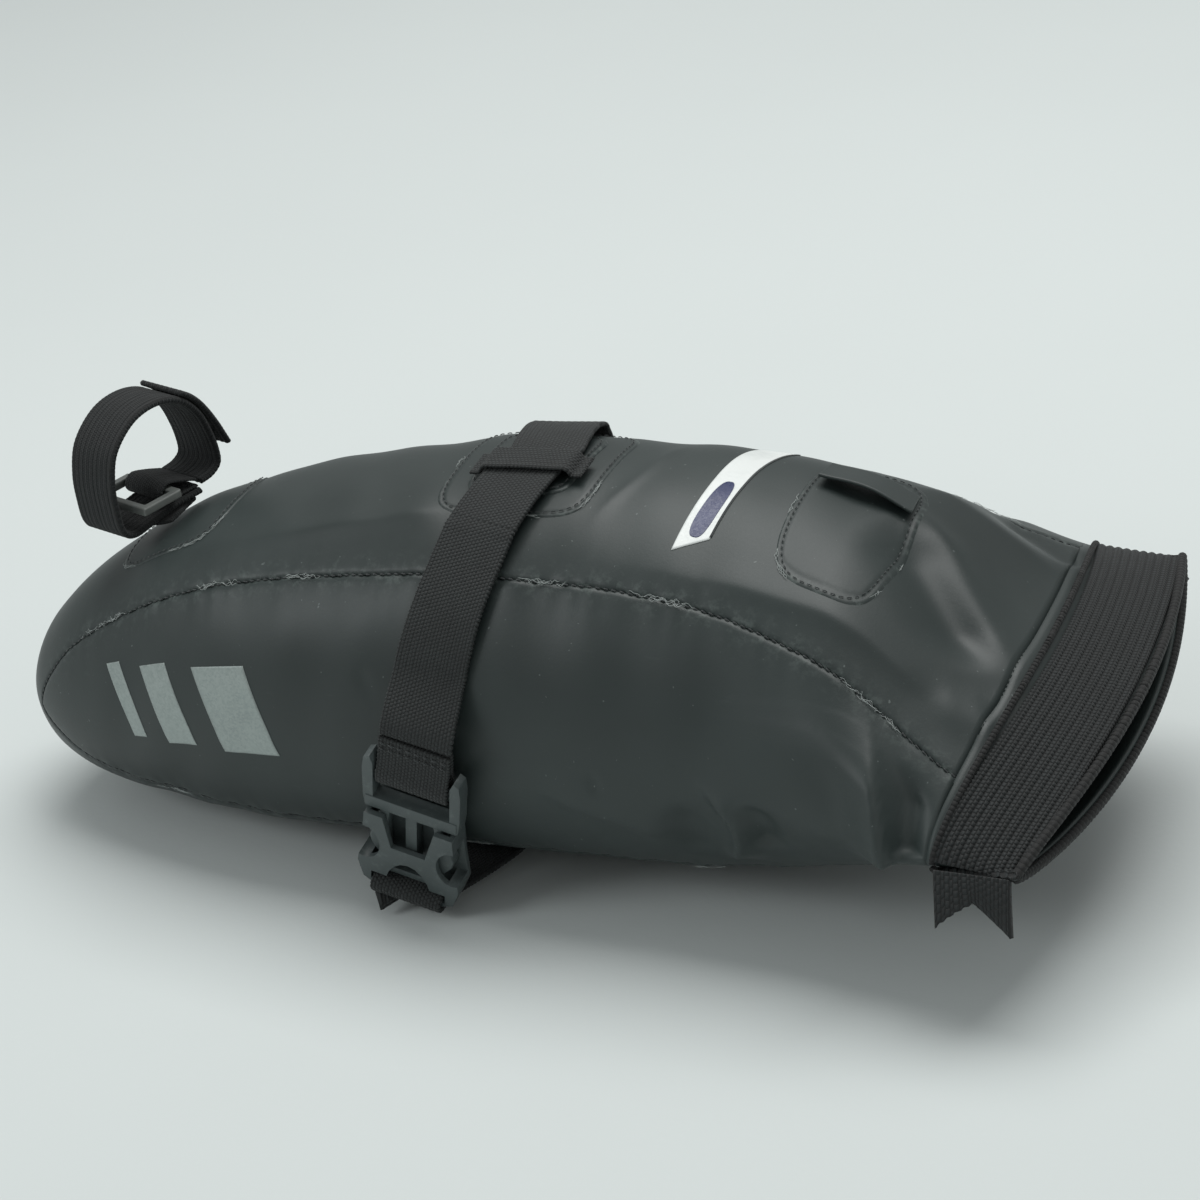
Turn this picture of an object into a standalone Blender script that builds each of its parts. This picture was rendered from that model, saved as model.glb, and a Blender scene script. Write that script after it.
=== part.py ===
"""Saddle bag: a tapered soft bag with rail straps, side-release buckles, a seatpost strap and a roll-up mouth.

The skin is one surface: s runs from the nose (0) to the mouth, and the angle phi goes round the section,
0 on the far side (+Y), 90 on top and 180 on the near side (-Y). Every panel, patch and strap is laid on it.
"""

import math

import bpy
import numpy as np

# ---- driving sizes, metres -------------------------------------------------------------------------------
FABRIC = 0.0012          # coated fabric
WEB = 0.0016             # woven webbing
PATCH = 0.0010
GAP = 0.0003             # between neighbours
WEB_W = 0.025            # rail strap
POST_W = 0.021           # seatpost strap
X_SHIFT, Z_SHIFT = -0.1967, 0.0022
PANEL_END, LIP_START, MOUTH = 0.3500, 0.3520, 0.3810
TILT, SKEW, TILT_FROM = 6.5, 0.060, 0.24    # the soft mouth lies turned by this many degrees
BULGE, BULGE_FROM = 0.0125, 0.300           # the middle of its edge lies this much further out than the corners

# one row a section: s, half width, top, bottom, height of the widest line, roundness (0.5 is an ellipse)
SECTIONS = np.array([
    [0.000, 0.012, 0.043, 0.037, 0.0400, 0.50],
    [0.004, 0.022, 0.057, 0.022, 0.0395, 0.50],
    [0.015, 0.032, 0.071, 0.010, 0.0400, 0.50],
    [0.039, 0.043, 0.089, 0.004, 0.0425, 0.48],
    [0.088, 0.056, 0.112, 0.000, 0.0520, 0.46],
    [0.147, 0.064, 0.126, 0.000, 0.0575, 0.45],
    [0.206, 0.068, 0.132, 0.000, 0.0600, 0.46],
    [0.259, 0.069, 0.131, 0.002, 0.0600, 0.50],
    [0.308, 0.074, 0.121, 0.013, 0.0585, 0.56],
    [0.354, 0.083, 0.082, 0.039, 0.0575, 0.62],
    [0.381, 0.082, 0.063, 0.052, 0.0575, 0.66],
])
# the two seams of a side panel, in degrees up and down from the widest line
SEAM_AT = np.array([0.0094, 0.012, 0.018, 0.030, 0.060, 0.120, 0.200, 0.270, 0.320, 0.354])
SEAM_UP = np.array([0.6, 12.0, 25.0, 37.0, 45.0, 48.0, 48.0, 48.0, 46.0, 42.0])
SEAM_DOWN = np.array([0.6, 7.0, 15.0, 26.0, 34.0, 40.0, 44.0, 48.0, 50.0, 48.0])

STRAP_S, STRAP_SLANT = 0.2045, 0.026        # rail strap: where it crosses the top, and its lean to the nose
BUCKLE_PHI = 192.0
SLIDE = 0.016                               # how far a male buckle draws out


def smooth(x, xs, ys):
    """Cubic through the rows that never overshoots them."""
    x = np.asarray(x, float)
    h = np.diff(xs)
    d = np.diff(ys) / h
    m = np.zeros_like(ys)
    for i in range(1, len(xs) - 1):
        if d[i - 1] * d[i] > 0:
            a, b = 2 * h[i] + h[i - 1], h[i] + 2 * h[i - 1]
            m[i] = (a + b) / (a / d[i - 1] + b / d[i])
    m[0], m[-1] = d[0], d[-1]
    k = np.clip(np.searchsorted(xs, x) - 1, 0, len(xs) - 2)
    t = np.clip((x - xs[k]) / h[k], 0, 1)
    return (ys[k] * (1 + 2 * t) * (1 - t) ** 2 + m[k] * h[k] * t * (1 - t) ** 2
            + ys[k + 1] * t * t * (3 - 2 * t) + m[k + 1] * h[k] * t * t * (t - 1))


def skin(s, phi, lift=0.0):
    """Points of the bag's outside, or of one grown by lift."""
    s, phi, lift = np.broadcast_arrays(np.asarray(s, float), np.radians(phi), np.asarray(lift, float))
    w, top, bottom, mid, power = (smooth(s, SECTIONS[:, 0], SECTIONS[:, k]) for k in range(1, 6))
    c, n = np.cos(phi), np.sin(phi)
    y = (w + lift) * np.sign(c) * np.abs(c) ** 0.9
    half = np.where(n >= 0, top - mid, mid - bottom) + lift
    z = half * np.sign(n) * np.abs(n) ** (2 * power)
    q = np.clip((s - TILT_FROM) / (MOUTH - TILT_FROM), 0, 1)
    a = np.radians(TILT) * q
    ramp = np.clip((s - BULGE_FROM) / (0.354 - BULGE_FROM), 0, 1) ** 2
    x = s + SKEW * y * q * q + BULGE * ramp * (1 - (y / (w + lift)) ** 2)
    y, z = y * np.cos(a) - z * np.sin(a), y * np.sin(a) + z * np.cos(a) + mid
    return np.stack([x + X_SHIFT, y, z + Z_SHIFT], -1)


def unit(v):
    return v / np.linalg.norm(v, axis=-1, keepdims=True)


def along(s, phi, lift=0.0):
    """Unit vector on the skin towards the mouth."""
    return unit(skin(s + 1e-4, phi, lift) - skin(s - 1e-4, phi, lift))


# ---- making objects --------------------------------------------------------------------------------------
for old in list(bpy.data.objects):
    bpy.data.objects.remove(old)


def srgb(code):
    """sRGB hex to linear RGBA."""
    parts = [int(code[i:i + 2], 16) / 255 for i in (0, 2, 4)]
    return [c / 12.92 if c <= 0.04045 else ((c + 0.055) / 1.055) ** 2.4 for c in parts] + [1.0]


LOOKS = {
    "coated_fabric": ("3A4443", 0.50),
    "black_webbing": ("1B1F1F", 0.85),
    "hook_and_loop": ("171A1A", 0.90),
    "dark_grey_acetal": ("454D4D", 0.38),
    "grey_nylon": ("6A6E6E", 0.50),
    "white_label_film": ("D9DDDB", 0.45),
    "reflective_print": ("969E9B", 0.35),
}


def add_object(name, points, faces, look, shade=True):
    """One mesh object with a Principled material of its own."""
    mesh = bpy.data.meshes.new(name)
    mesh.from_pydata([tuple(p) for p in np.asarray(points, float)], [], [tuple(int(i) for i in f) for f in faces])
    mesh.update()
    obj = bpy.data.objects.new(name, mesh)
    bpy.context.collection.objects.link(obj)
    colour, rough = LOOKS[look]
    material = bpy.data.materials.new(f"{name}_{look}")
    material.use_nodes = True
    node = material.node_tree.nodes["Principled BSDF"]
    node.inputs["Base Color"].default_value = srgb(colour)
    node.inputs["Roughness"].default_value = rough
    mesh.materials.append(material)
    if shade:
        mesh.polygons.foreach_set("use_smooth", [False] * len(mesh.polygons))
    return obj


def slab(top, low):
    """Closed solid between two grids of points, top being the outer one."""
    nu, nv = top.shape[:2]
    points = np.concatenate([top.reshape(-1, 3), low.reshape(-1, 3)])
    faces, n = [], nu * nv

    def at(i, j):
        return i * nv + j

    for i in range(nu - 1):
        for j in range(nv - 1):
            a, b, c, d = at(i, j), at(i + 1, j), at(i + 1, j + 1), at(i, j + 1)
            faces += [(a, b, c, d), (n + d, n + c, n + b, n + a)]
    rim = ([at(i, 0) for i in range(nu)] + [at(nu - 1, j) for j in range(1, nv)]
           + [at(i, nv - 1) for i in range(nu - 2, -1, -1)] + [at(0, j) for j in range(nv - 2, 0, -1)])
    for a, b in zip(rim, rim[1:] + rim[:1]):
        faces.append((a, n + a, n + b, b))
    return points, faces


def faced_out(points, faces):
    """The same solid with its faces turned outwards."""
    volume = 0.0
    for f in faces:
        for k in range(1, len(f) - 1):
            a, b, c = points[f[0]], points[f[k]], points[f[k + 1]]
            volume += np.dot(a, np.cross(b, c))
    return (points, faces) if volume > 0 else (points, [tuple(reversed(f)) for f in faces])


def mirrored(solid):
    points, faces = solid
    return points * [1, -1, 1], [tuple(reversed(f)) for f in faces]


def add_solid(name, solid, look):
    return add_object(name, *faced_out(*solid), look)


def on_skin(s, phi, low, high):
    """Solid over a grid of (s, phi), between two lifts, which may vary over the grid."""
    return slab(skin(s, phi, high), skin(s, phi, low))


def spaced(a, b, n, ease=0.0):
    """n numbers from a to b, crowded at a by ease."""
    t = np.linspace(0, 1, n)
    return a + (b - a) * ((1 - ease) * t + ease * t * t)


def rounded_patch(s0, s1, phi0, phi1, power, low, high, n=9):
    """Patch on the skin with rounded corners: the outline is a superellipse of this power."""
    side = np.linspace(-1, 1, n)
    u, v = np.meshgrid(side, side, indexing="ij")
    most = np.maximum(np.maximum(np.abs(u), np.abs(v)), 1e-9)
    pulled = (np.abs(u / most) ** power + np.abs(v / most) ** power + (most < 1e-6)) ** (-1 / power)
    share = 1 + (pulled - 1) * most**2
    s = (s0 + s1) / 2 + (s1 - s0) / 2 * u * share
    phi = (phi0 + phi1) / 2 + (phi1 - phi0) / 2 * v * share
    return on_skin(s, phi, low, high)


def catmull(points, n):
    """n points along a smooth curve through the given ones, evenly spaced by length."""
    p = np.asarray(points, float)
    ends = np.concatenate([[2 * p[0] - p[1]], p, [2 * p[-1] - p[-2]]])
    t = np.linspace(0, 1, 12, endpoint=False)[:, None]
    pieces = []
    for k in range(len(p) - 1):
        a, b, c, d = ends[k:k + 4]
        pieces.append(0.5 * (2 * b + (c - a) * t + (2 * a - 5 * b + 4 * c - d) * t**2
                             + (3 * b - a - 3 * c + d) * t**3))
    fine = np.concatenate(pieces + [p[-1:]])
    run = np.concatenate([[0], np.cumsum(np.linalg.norm(np.diff(fine, axis=0), axis=1))])
    return np.stack([np.interp(np.linspace(0, run[-1], n), run, fine[:, k]) for k in range(p.shape[1])], 1)


def ribbon(centre, wide, width, thick):
    """Strap along a centre line, wide being the unit vector across it at each point."""
    run = unit(np.gradient(centre, axis=0))
    across = unit(wide - run * (wide * run).sum(-1, keepdims=True))
    normal = np.cross(run, across)
    sides = np.array([-0.5, 0.5]) * width
    grid = centre[:, None] + across[:, None] * sides[None, :, None]
    return slab(grid + normal[:, None] * thick / 2, grid - normal[:, None] * thick / 2)


class Frame:
    """Local axes: origin, then the directions of its three coordinates."""

    def __init__(self, origin, *axes):
        self.origin, self.axes = np.asarray(origin, float), np.array(axes, float)

    def __call__(self, points):
        return self.origin + np.asarray(points, float) @ self.axes


def prism(outline, low, high):
    """Outline of two coordinates raised between two values of the third. It may be concave."""
    n = len(outline)
    points = np.array([(a, b, low) for a, b in outline] + [(a, b, high) for a, b in outline])
    faces = [tuple(range(n)), tuple(range(2 * n - 1, n - 1, -1))]
    faces += [(i, n + i, n + (i + 1) % n, (i + 1) % n) for i in range(n)]
    return points, faces


def block(a0, a1, b0, b1, c0, c1):
    return prism([(a0, b0), (a1, b0), (a1, b1), (a0, b1)], c0, c1)


def oval(a, b, ra, rb, n=24):
    return [(a + ra * math.cos(t), b + rb * math.sin(t)) for t in np.linspace(0, 2 * math.pi, n, endpoint=False)]


def combined(base, steps):
    """Boolean steps on one solid: each is ("UNION" or "DIFFERENCE", solid)."""
    look = "dark_grey_acetal"
    main = add_solid("making", base, look)
    helpers = []
    for kind, solid in steps:
        helper = add_solid("helper", solid, look)
        helpers.append(helper)
        step = main.modifiers.new(kind, "BOOLEAN")
        step.operation, step.object, step.solver = kind, helper, "EXACT"
    bpy.context.view_layer.update()
    shape = main.evaluated_get(bpy.context.evaluated_depsgraph_get())
    mesh = bpy.data.meshes.new_from_object(shape)
    points = np.array([v.co[:] for v in mesh.vertices])
    mesh.calc_loop_triangles()
    faces = [tuple(t.vertices) for t in mesh.loop_triangles]
    for obj in helpers + [main]:
        bpy.data.objects.remove(obj)
    return points, faces


# ---- the bag's fabric ------------------------------------------------------------------------------------
def seam_angles(s):
    up, down = smooth(s, SEAM_AT, SEAM_UP), smooth(s, SEAM_AT, SEAM_DOWN)
    span = np.linalg.norm(skin(s, 181.0) - skin(s, 179.0), axis=-1) / 2
    return up, down, 0.00022 / np.maximum(span, 3e-4)


def panel(first, last, columns, rows, start):
    """Fabric between two seam lines, given as functions of s."""
    s = spaced(start, PANEL_END, columns, 0.55)[:, None]
    t = np.linspace(0, 1, rows)[None, :]
    phi = first(s) * (1 - t) + last(s) * t
    return on_skin(s + 0 * phi, phi, -FABRIC, 0.0)


def near_side_panel():
    return panel(lambda s: 180 - seam_angles(s)[0] + seam_angles(s)[2],
                 lambda s: 180 + seam_angles(s)[1] - seam_angles(s)[2], 38, 15, 0.0125)


def top_gusset():
    return panel(lambda s: seam_angles(s)[0] + seam_angles(s)[2],
                 lambda s: 180 - seam_angles(s)[0] - seam_angles(s)[2], 38, 13, 0.0094)


def bottom_gusset():
    return panel(lambda s: 180 + seam_angles(s)[1] + seam_angles(s)[2],
                 lambda s: 360 - seam_angles(s)[1] - seam_angles(s)[2], 38, 13, 0.0094)


def nose_cap():
    """Domed end of the nose, closed at its tip."""
    s = spaced(0.0, 0.0090, 7, 0.5)[::-1, None]
    phi = np.linspace(0, 360, 33)[None, :-1]
    outer, inner = skin(s, phi, 0.0), skin(s, phi, -FABRIC)
    inner[..., 0] += FABRIC * np.linspace(0.2, 1.0, 7)[:, None]
    rings, n = outer.shape[:2]
    tip_out = outer[-1].mean(0) - [0.0006, 0, 0]
    tip_in = inner[-1].mean(0) - [0.0006, 0, 0]
    points = np.concatenate([outer.reshape(-1, 3), inner.reshape(-1, 3), [tip_out, tip_in]])
    base, faces = rings * n, []
    for i in range(rings - 1):
        for j in range(n):
            a, b, c, d = i * n + j, (i + 1) * n + j, (i + 1) * n + (j + 1) % n, i * n + (j + 1) % n
            faces += [(a, b, c, d), (base + d, base + c, base + b, base + a)]
    last = (rings - 1) * n
    for j in range(n):
        k = (j + 1) % n
        faces += [(last + j, 2 * base, last + k), (base + last + k, 2 * base + 1, base + last + j)]
        faces.append((j, k, base + k, base + j))
    return points, faces


def mouth_strip(phi0, phi1, start, low, high, columns, rows):
    s = np.linspace(start, MOUTH, columns)[:, None]
    phi = np.linspace(phi0, phi1, rows)[None, :]
    return on_skin(s + 0 * phi, phi + 0 * s, low, high)


add_solid("near_side_panel", near_side_panel(), "coated_fabric")
s_far = panel(lambda s: seam_angles(s)[0] - seam_angles(s)[2],
              lambda s: -seam_angles(s)[1] + seam_angles(s)[2], 38, 15, 0.0125)
add_solid("far_side_panel", s_far, "coated_fabric")
add_solid("top_gusset", top_gusset(), "coated_fabric")
add_solid("bottom_gusset", bottom_gusset(), "coated_fabric")
add_solid("nose_cap", nose_cap(), "coated_fabric")

# ---- roll-up mouth ---------------------------------------------------------------------------------------
BAND_LOW, BAND_HIGH = 0.0004, 0.0024
for half, phi0, phi1 in (("upper", 2.0, 178.0), ("lower", 182.0, 358.0)):
    add_solid(f"mouth_lip_{half}", mouth_strip(phi0, phi1, LIP_START, -FABRIC, 0.0, 5, 33), "coated_fabric")
    add_solid(f"mouth_band_{half}", mouth_strip(phi0 + 3, phi1 - 3, 0.3535, BAND_LOW, BAND_HIGH, 4, 33),
              "black_webbing")


def fishtail(side):
    """Free end of the mouth webbing past a corner, cut to a V and hanging a little."""
    phi = 180.0 if side < 0 else 0.0
    mid_s = (0.3535 + MOUTH) / 2
    corner = skin(mid_s, phi, BAND_HIGH + 0.0006)
    wide = along(mid_s, phi)
    out = unit(np.array([0.10, side * 0.50, -0.86]))
    normal = unit(np.cross(wide, out))
    half = 0.0118
    outline = [(-half, 0.0), (half, 0.0), (half, 0.017), (0.0, 0.0105), (-half, 0.015)]
    points, faces = prism(outline, -WEB / 2, WEB / 2)
    return Frame(corner, wide, out, normal)(points), faces


add_solid("near_fishtail_end", fishtail(-1), "black_webbing")
add_solid("far_fishtail_end", fishtail(1), "black_webbing")

# ---- patches, label and print ----------------------------------------------------------------------------
add_solid("top_patch", rounded_patch(0.173, 0.228, 67, 113, 5.0, GAP, GAP + PATCH), "coated_fabric")
add_solid("top_patch_inner",
          rounded_patch(0.182, 0.219, 75, 105, 6.0, 2 * GAP + PATCH, 2 * GAP + 2 * PATCH, 7), "coated_fabric")
add_solid("rear_patch", rounded_patch(0.289, 0.322, 66, 117, 3.6, GAP, GAP + PATCH), "coated_fabric")
add_solid("nose_patch", rounded_patch(0.046, 0.090, 66, 114, 4.5, GAP, GAP + PATCH), "coated_fabric")


def light_loop():
    """Strip of the fabric sewn at both ends, standing just off the rear patch between them."""
    t = np.linspace(0, 1, 13)
    s = 0.2925 + 0.027 * t
    rise = 0.0010 * np.sin(np.pi * t) ** 2
    centre = skin(s, 80.0, PATCH + 4.5 * GAP + FABRIC / 2 + rise)
    return ribbon(centre, np.tile([0.0, 1.0, -0.25], (13, 1)), 0.015, FABRIC)


add_solid("light_loop", light_loop(), "coated_fabric")


def leaning_strip(outline, low, high, n=10):
    """Four-cornered film on the skin: outline holds (s, phi) of its corners, in order round it."""
    a, b, c, d = (np.array(p) for p in outline)
    u = np.linspace(0, 1, 4)[:, None, None]
    v = np.linspace(0, 1, n)[None, :, None]
    grid = (a * (1 - u) + b * u) * (1 - v) + (d * (1 - u) + c * u) * v
    return on_skin(grid[..., 0], grid[..., 1], low, high)


LABEL = [(0.2590, 118.0), (0.2695, 112.0), (0.2765, 62.0), (0.2655, 62.0)]
add_solid("label_strip", leaning_strip(LABEL, GAP, GAP + 0.0004, 12), "white_label_film")
BARS = (
    [(0.050, 154.0), (0.056, 154.0), (0.066, 182.0), (0.060, 182.0)],
    [(0.066, 157.0), (0.078, 157.0), (0.088, 184.0), (0.076, 184.0)],
    [(0.090, 159.0), (0.112, 159.0), (0.122, 185.0), (0.100, 185.0)],
)
for k, bar in enumerate(BARS):
    add_solid(f"reflective_bar_{k}", leaning_strip(bar, GAP, GAP + 0.0003, 8), "reflective_print")


# ---- rail strap over the top -----------------------------------------------------------------------------
def strap_s(phi):
    return STRAP_S - STRAP_SLANT * np.clip((np.asarray(phi, float) - 90) / 90, 0, 1.3)


TOP_LIFT = 2 * PATCH + 3 * GAP + WEB / 2
phi_top = np.linspace(62, 118, 25)
lean = np.abs(phi_top - 90) + 90
centre = skin(strap_s(lean), phi_top, TOP_LIFT)
add_solid("rail_strap_top", ribbon(centre, along(strap_s(lean), phi_top, TOP_LIFT), WEB_W, WEB), "black_webbing")


def keeper():
    """Short webbing bridge along the bag, over the strap and down to the patch on both sides."""
    reach, low, rise = 0.0195, 2 * PATCH + 3 * GAP + WEB / 2, TOP_LIFT + WEB / 2 + 2 * GAP + WEB / 2
    half = [(0.0085, rise), (0.0140, rise), (0.0162, low), (reach, low)]
    line = catmull([(-a, b) for a, b in half[::-1]] + half, 27)
    middle = 96.0
    points = skin(strap_s(middle) + line[:, 0], middle, line[:, 1])
    return ribbon(points, np.tile([0.0, 1.0, 0.06], (27, 1)), 0.012, WEB * 0.75)


add_solid("strap_keeper", keeper(), "black_webbing")

# ---- buckle, in its own frame: a across, b down the strap, c out from the bag, millimetres ---------------
MM = 0.001
touch = skin(strap_s(BUCKLE_PHI), BUCKLE_PHI, 0.0)
nxt = skin(strap_s(BUCKLE_PHI + 1), BUCKLE_PHI + 1, 0.0)
prv = skin(strap_s(BUCKLE_PHI - 1), BUCKLE_PHI - 1, 0.0)
lengthways = along(strap_s(BUCKLE_PHI), BUCKLE_PHI)
down = unit(nxt - prv)
outward = unit(np.cross(lengthways, down))
outward = outward if outward[1] < 0 else -outward
sideways = unit(np.cross(down, outward))
sideways = sideways if sideways[0] > 0 else -sideways
REST_B = -8.0                                # the buckle touches the bag at this b
buckle = Frame(touch - down * REST_B * MM + outward * 0.0009, sideways, down, outward)

FEMALE = [(-15.5, -2), (-16.5, 10), (-18, 22), (-16, 29), (-11, 31.5), (11, 31.5), (16, 29), (18, 22),
          (16.5, 10), (15.5, -2)]


def female_buckle():
    cuts = [block(-14, 14, -4, 23, 2.5, 8.5)]
    for side in (-1, 1):
        cuts.append(prism(oval(side * 15.5, 12, 5.5, 7.5), 2.4, 12))
    cuts.append(prism([(-9.5, -4), (9.5, -4), (6.0, 11), (-6.0, 11)], 8.0, 12))
    cuts.append(prism(oval(0, 31, 8.5, 14, 20), 8.0, 12))
    cuts.append(block(-13.2, 13.2, 25.4, 28.9, -1, 12))
    return combined(prism(FEMALE, 0.5, 10.5), [("DIFFERENCE", faced_out(*c)) for c in cuts])


def male_buckle():
    adds = []
    for side in (-1, 1):
        horn = [(side * 13.4, -8), (side * 13.4, -23), (side * 14.6, -26), (side * 16.6, -25),
                (side * 17.2, -20), (side * 17.0, -8), (side * 16.4, -3.2), (side * 13.4, -3.2)]
        adds.append(prism(horn, 2.2, 8.0))
    adds.append(block(-14, 14, -19.0, -16.0, 3.5, 6.5))
    adds.append(block(-2.0, 2.0, -4.0, 18.0, 3.2, 7.8))
    return combined(block(-16, 16, -8.0, -3.2, 2.6, 8.4), [("UNION", faced_out(*a)) for a in adds])


def prong(side):
    outline = [(7.5, -2.6), (10.6, -2.6), (11.0, 0), (11.4, 4), (13.5, 6), (13.95, 8), (15.0, 11.5), (14.2, 14.5),
               (11.6, 18.2), (9.2, 19.5), (8.2, 18.6), (8.4, 14), (8.6, 6), (8.0, 0)]
    return prism([(side * a, b) for a, b in outline], 3.2, 7.8)


def strap_end():
    """Webbing folded round the male buckle's bar and sewn to itself."""
    path = [(-34, 5.3), (-28, 5.6), (-23, 6.6), (-19.5, 7.6), (-17.5, 7.75), (-15.4, 7.1), (-14.6, 5.0),
            (-15.4, 2.9), (-17.5, 2.25), (-19.5, 2.35), (-23, 2.9), (-28, 3.4), (-34, 3.5)]
    line = catmull(path, 41)
    run = unit(np.gradient(line, axis=0))
    normal = np.stack([-run[:, 1], run[:, 0]], 1) * 0.7
    grids = []
    for edge in (line + normal, line - normal):
        grids.append(np.stack([np.stack([np.full(41, a), edge[:, 0], edge[:, 1]], 1) for a in (-12.5, 12.5)], 1))
    return slab(*grids)


def placed(solid):
    points, faces = solid
    return buckle(points * MM), faces


def tail_webbing():
    """From the female buckle's bar round and back to the underside of the bag."""
    hang = [(27.2, 0.4), (27.2, 8.0), (27.8, 11.4), (29.9, 12.5), (32.9, 10.7), (34.1, 6.0), (34.5, 1.5)]
    hang = [buckle(np.array([0, b, c]) * MM) for b, c in hang]
    under = [skin(strap_s(BUCKLE_PHI), phi, lift) for phi, lift in ((246.0, 0.0026), (256.0, 0.0017))]
    centre = catmull(hang + under, 37)
    wide = np.linspace(0, 1, 37)[:, None] ** 2
    return ribbon(centre, unit(sideways * (1 - wide) + np.array([1.0, 0, 0]) * wide), WEB_W, WEB)


def strap_run():
    """From the top strap down the side to the sewn fold, standing off the skin as it nears the buckle."""
    phi = np.linspace(119.0, 158.0, 12)
    lift = 0.0018 + (TOP_LIFT - 0.0018) * np.clip((132 - phi) / 13, 0, 1) ** 1.5
    upper = skin(strap_s(phi), phi, lift)
    end = buckle(np.array([0, -34.6, 4.4]) * MM)
    start_dir, reach = unit(upper[-1] - upper[-2]), np.linalg.norm(end - upper[-1])
    t = np.linspace(0, 1, 10)[1:, None]
    lower = (upper[-1] * (1 + 2 * t) * (1 - t) ** 2 + start_dir * reach * t * (1 - t) ** 2
             + end * t * t * (3 - 2 * t) + down * reach * t * t * (t - 1))
    centre = np.concatenate([upper, lower])
    turn = np.clip(np.arange(len(centre)) - 11, 0, None)[:, None] / 9
    flat = np.concatenate([along(strap_s(phi), phi), np.tile(along(strap_s(158.0), 158.0), (9, 1))])
    return ribbon(centre, unit(flat * (1 - turn) + sideways * turn), WEB_W, WEB)


pieces = {
    "buckle_female": (placed(female_buckle()), "dark_grey_acetal"),
    "buckle_male": (placed(male_buckle()), "dark_grey_acetal"),
    "prong_front": (placed(prong(-1)), "dark_grey_acetal"),
    "prong_rear": (placed(prong(1)), "dark_grey_acetal"),
    "strap_end": (placed(strap_end()), "black_webbing"),
    "strap_run": (strap_run(), "black_webbing"),
    "tail_webbing": (tail_webbing(), "black_webbing"),
}
for piece, (solid, look) in pieces.items():
    solid = faced_out(*solid)
    add_solid(f"near_{piece}", solid, look)
    add_solid(f"far_{piece}", mirrored(solid), look)

# ---- base ------------------------------------------------------------------------------------------------
BASE_X, BASE_HALF, BASE_R = (-0.085, 0.035), 0.015, 0.010
corner_pts = []
for cx, cy, start in ((BASE_X[1], 1, 0), (BASE_X[0], 1, 90), (BASE_X[0], -1, 180), (BASE_X[1], -1, 270)):
    for a in np.radians(np.linspace(start, start + 90, 7)):
        corner_pts.append((cx + BASE_R * math.cos(a), cy * (BASE_HALF - BASE_R) + BASE_R * math.sin(a)))
add_solid("base_patch", prism(corner_pts, 0.0, 0.0018), "coated_fabric")

# ---- seatpost strap, in a frame of its own: across the bag, along the strap's width, up ------------------
POST_YAW, POST_X = 19.0, -0.1432
across = np.array([math.sin(math.radians(POST_YAW)), math.cos(math.radians(POST_YAW)), 0])
widthways = np.array([math.cos(math.radians(POST_YAW)), -math.sin(math.radians(POST_YAW)), 0])
post = Frame([POST_X, 0, 0], across, widthways, [0, 0, 1])
POST_LOOP = [(13.6, 110.2), (2, 110.0), (-9.5, 108.2), (-17.5, 107.4), (-21.8, 110.6), (-22.8, 118.4),
             (-22.3, 128.3), (-18.6, 138.4), (-9.2, 145.8), (1.6, 147.6), (11.8, 144.6), (18.8, 137.2),
             (22.4, 127.8), (23.7, 120.0), (23.3, 116.6), (19.2, 114.2)]
POST_THICK = 0.0022


def post_ribbon(path, n, width, thick):
    line = catmull(path, n) * MM
    centre = post(np.stack([line[:, 0], 0 * line[:, 0], line[:, 1]], 1))
    return ribbon(centre, np.tile(widthways, (n, 1)), width, thick)


TIP_PATH = [(13.0, 146.9), (17.5, 143.4), (21.5, 138.5), (25.6, 131.0), (29.6, 121.5)]
RING_AT = (0.5, 115.2)
TAB_PATH = [(13, 112.3), (6, 112.2), (0.5, RING_AT[1] - 3.1), (-2.4, RING_AT[1] - 1.5), (-2.6, RING_AT[1] + 1.3),
            (0.3, RING_AT[1] + 3.2), (6, 117.0), (13, 114.4)]


def post_ring():
    """Rectangular ring lying back over the strap, one bar in the tab."""
    p0, p1, q = RING_AT[0] - 15.5, RING_AT[0] + 1.5, RING_AT[1]
    frame = block(p0, p1, -14.0, 14.0, q - 1.5, q + 1.5)
    hole = block(p0 + 3, p1 - 3, -11.0, 11.0, q - 3, q + 3)
    points, faces = combined(frame, [("DIFFERENCE", faced_out(*hole))])
    return post(points * MM), faces


add_solid("post_strap_loop", post_ribbon(POST_LOOP, 61, POST_W, POST_THICK), "hook_and_loop")
add_solid("post_strap_tip", post_ribbon(TIP_PATH, 15, POST_W, 0.0018), "hook_and_loop")
add_solid("post_strap_tab", post_ribbon(TAB_PATH, 29, 0.019, 0.0009), "hook_and_loop")
add_solid("post_strap_ring", post_ring(), "grey_nylon")


def post_foot():
    """Webbing sewn to the nose patch, rising from it to carry the strap."""
    t = np.linspace(0, 1, 11)
    s = 0.0480 + 0.017 * t
    centre = skin(s, 90.0, PATCH + 3 * GAP + 0.0007 + 0.0062 * (1 - t) ** 1.5)
    return ribbon(centre, np.tile([0.0, 1.0, 0.0], (11, 1)), 0.018, 0.0014)


add_solid("post_strap_foot", post_foot(), "hook_and_loop")
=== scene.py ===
"""Saddle bag: the coated-fabric shell, webbing, buckles and trimmings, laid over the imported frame.

Every fabric piece lies on one skin. s runs in metres from the nose to the mouth, and phi in degrees round the
section: 0 on the far side, 90 on top, 180 on the near side, 270 underneath. relief(s, phi) lifts the skin
where the fabric is full or folded, and a lift is a distance out from the skin.
"""

import math

import bmesh
import bpy
import numpy as np
from mathutils import Matrix


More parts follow.
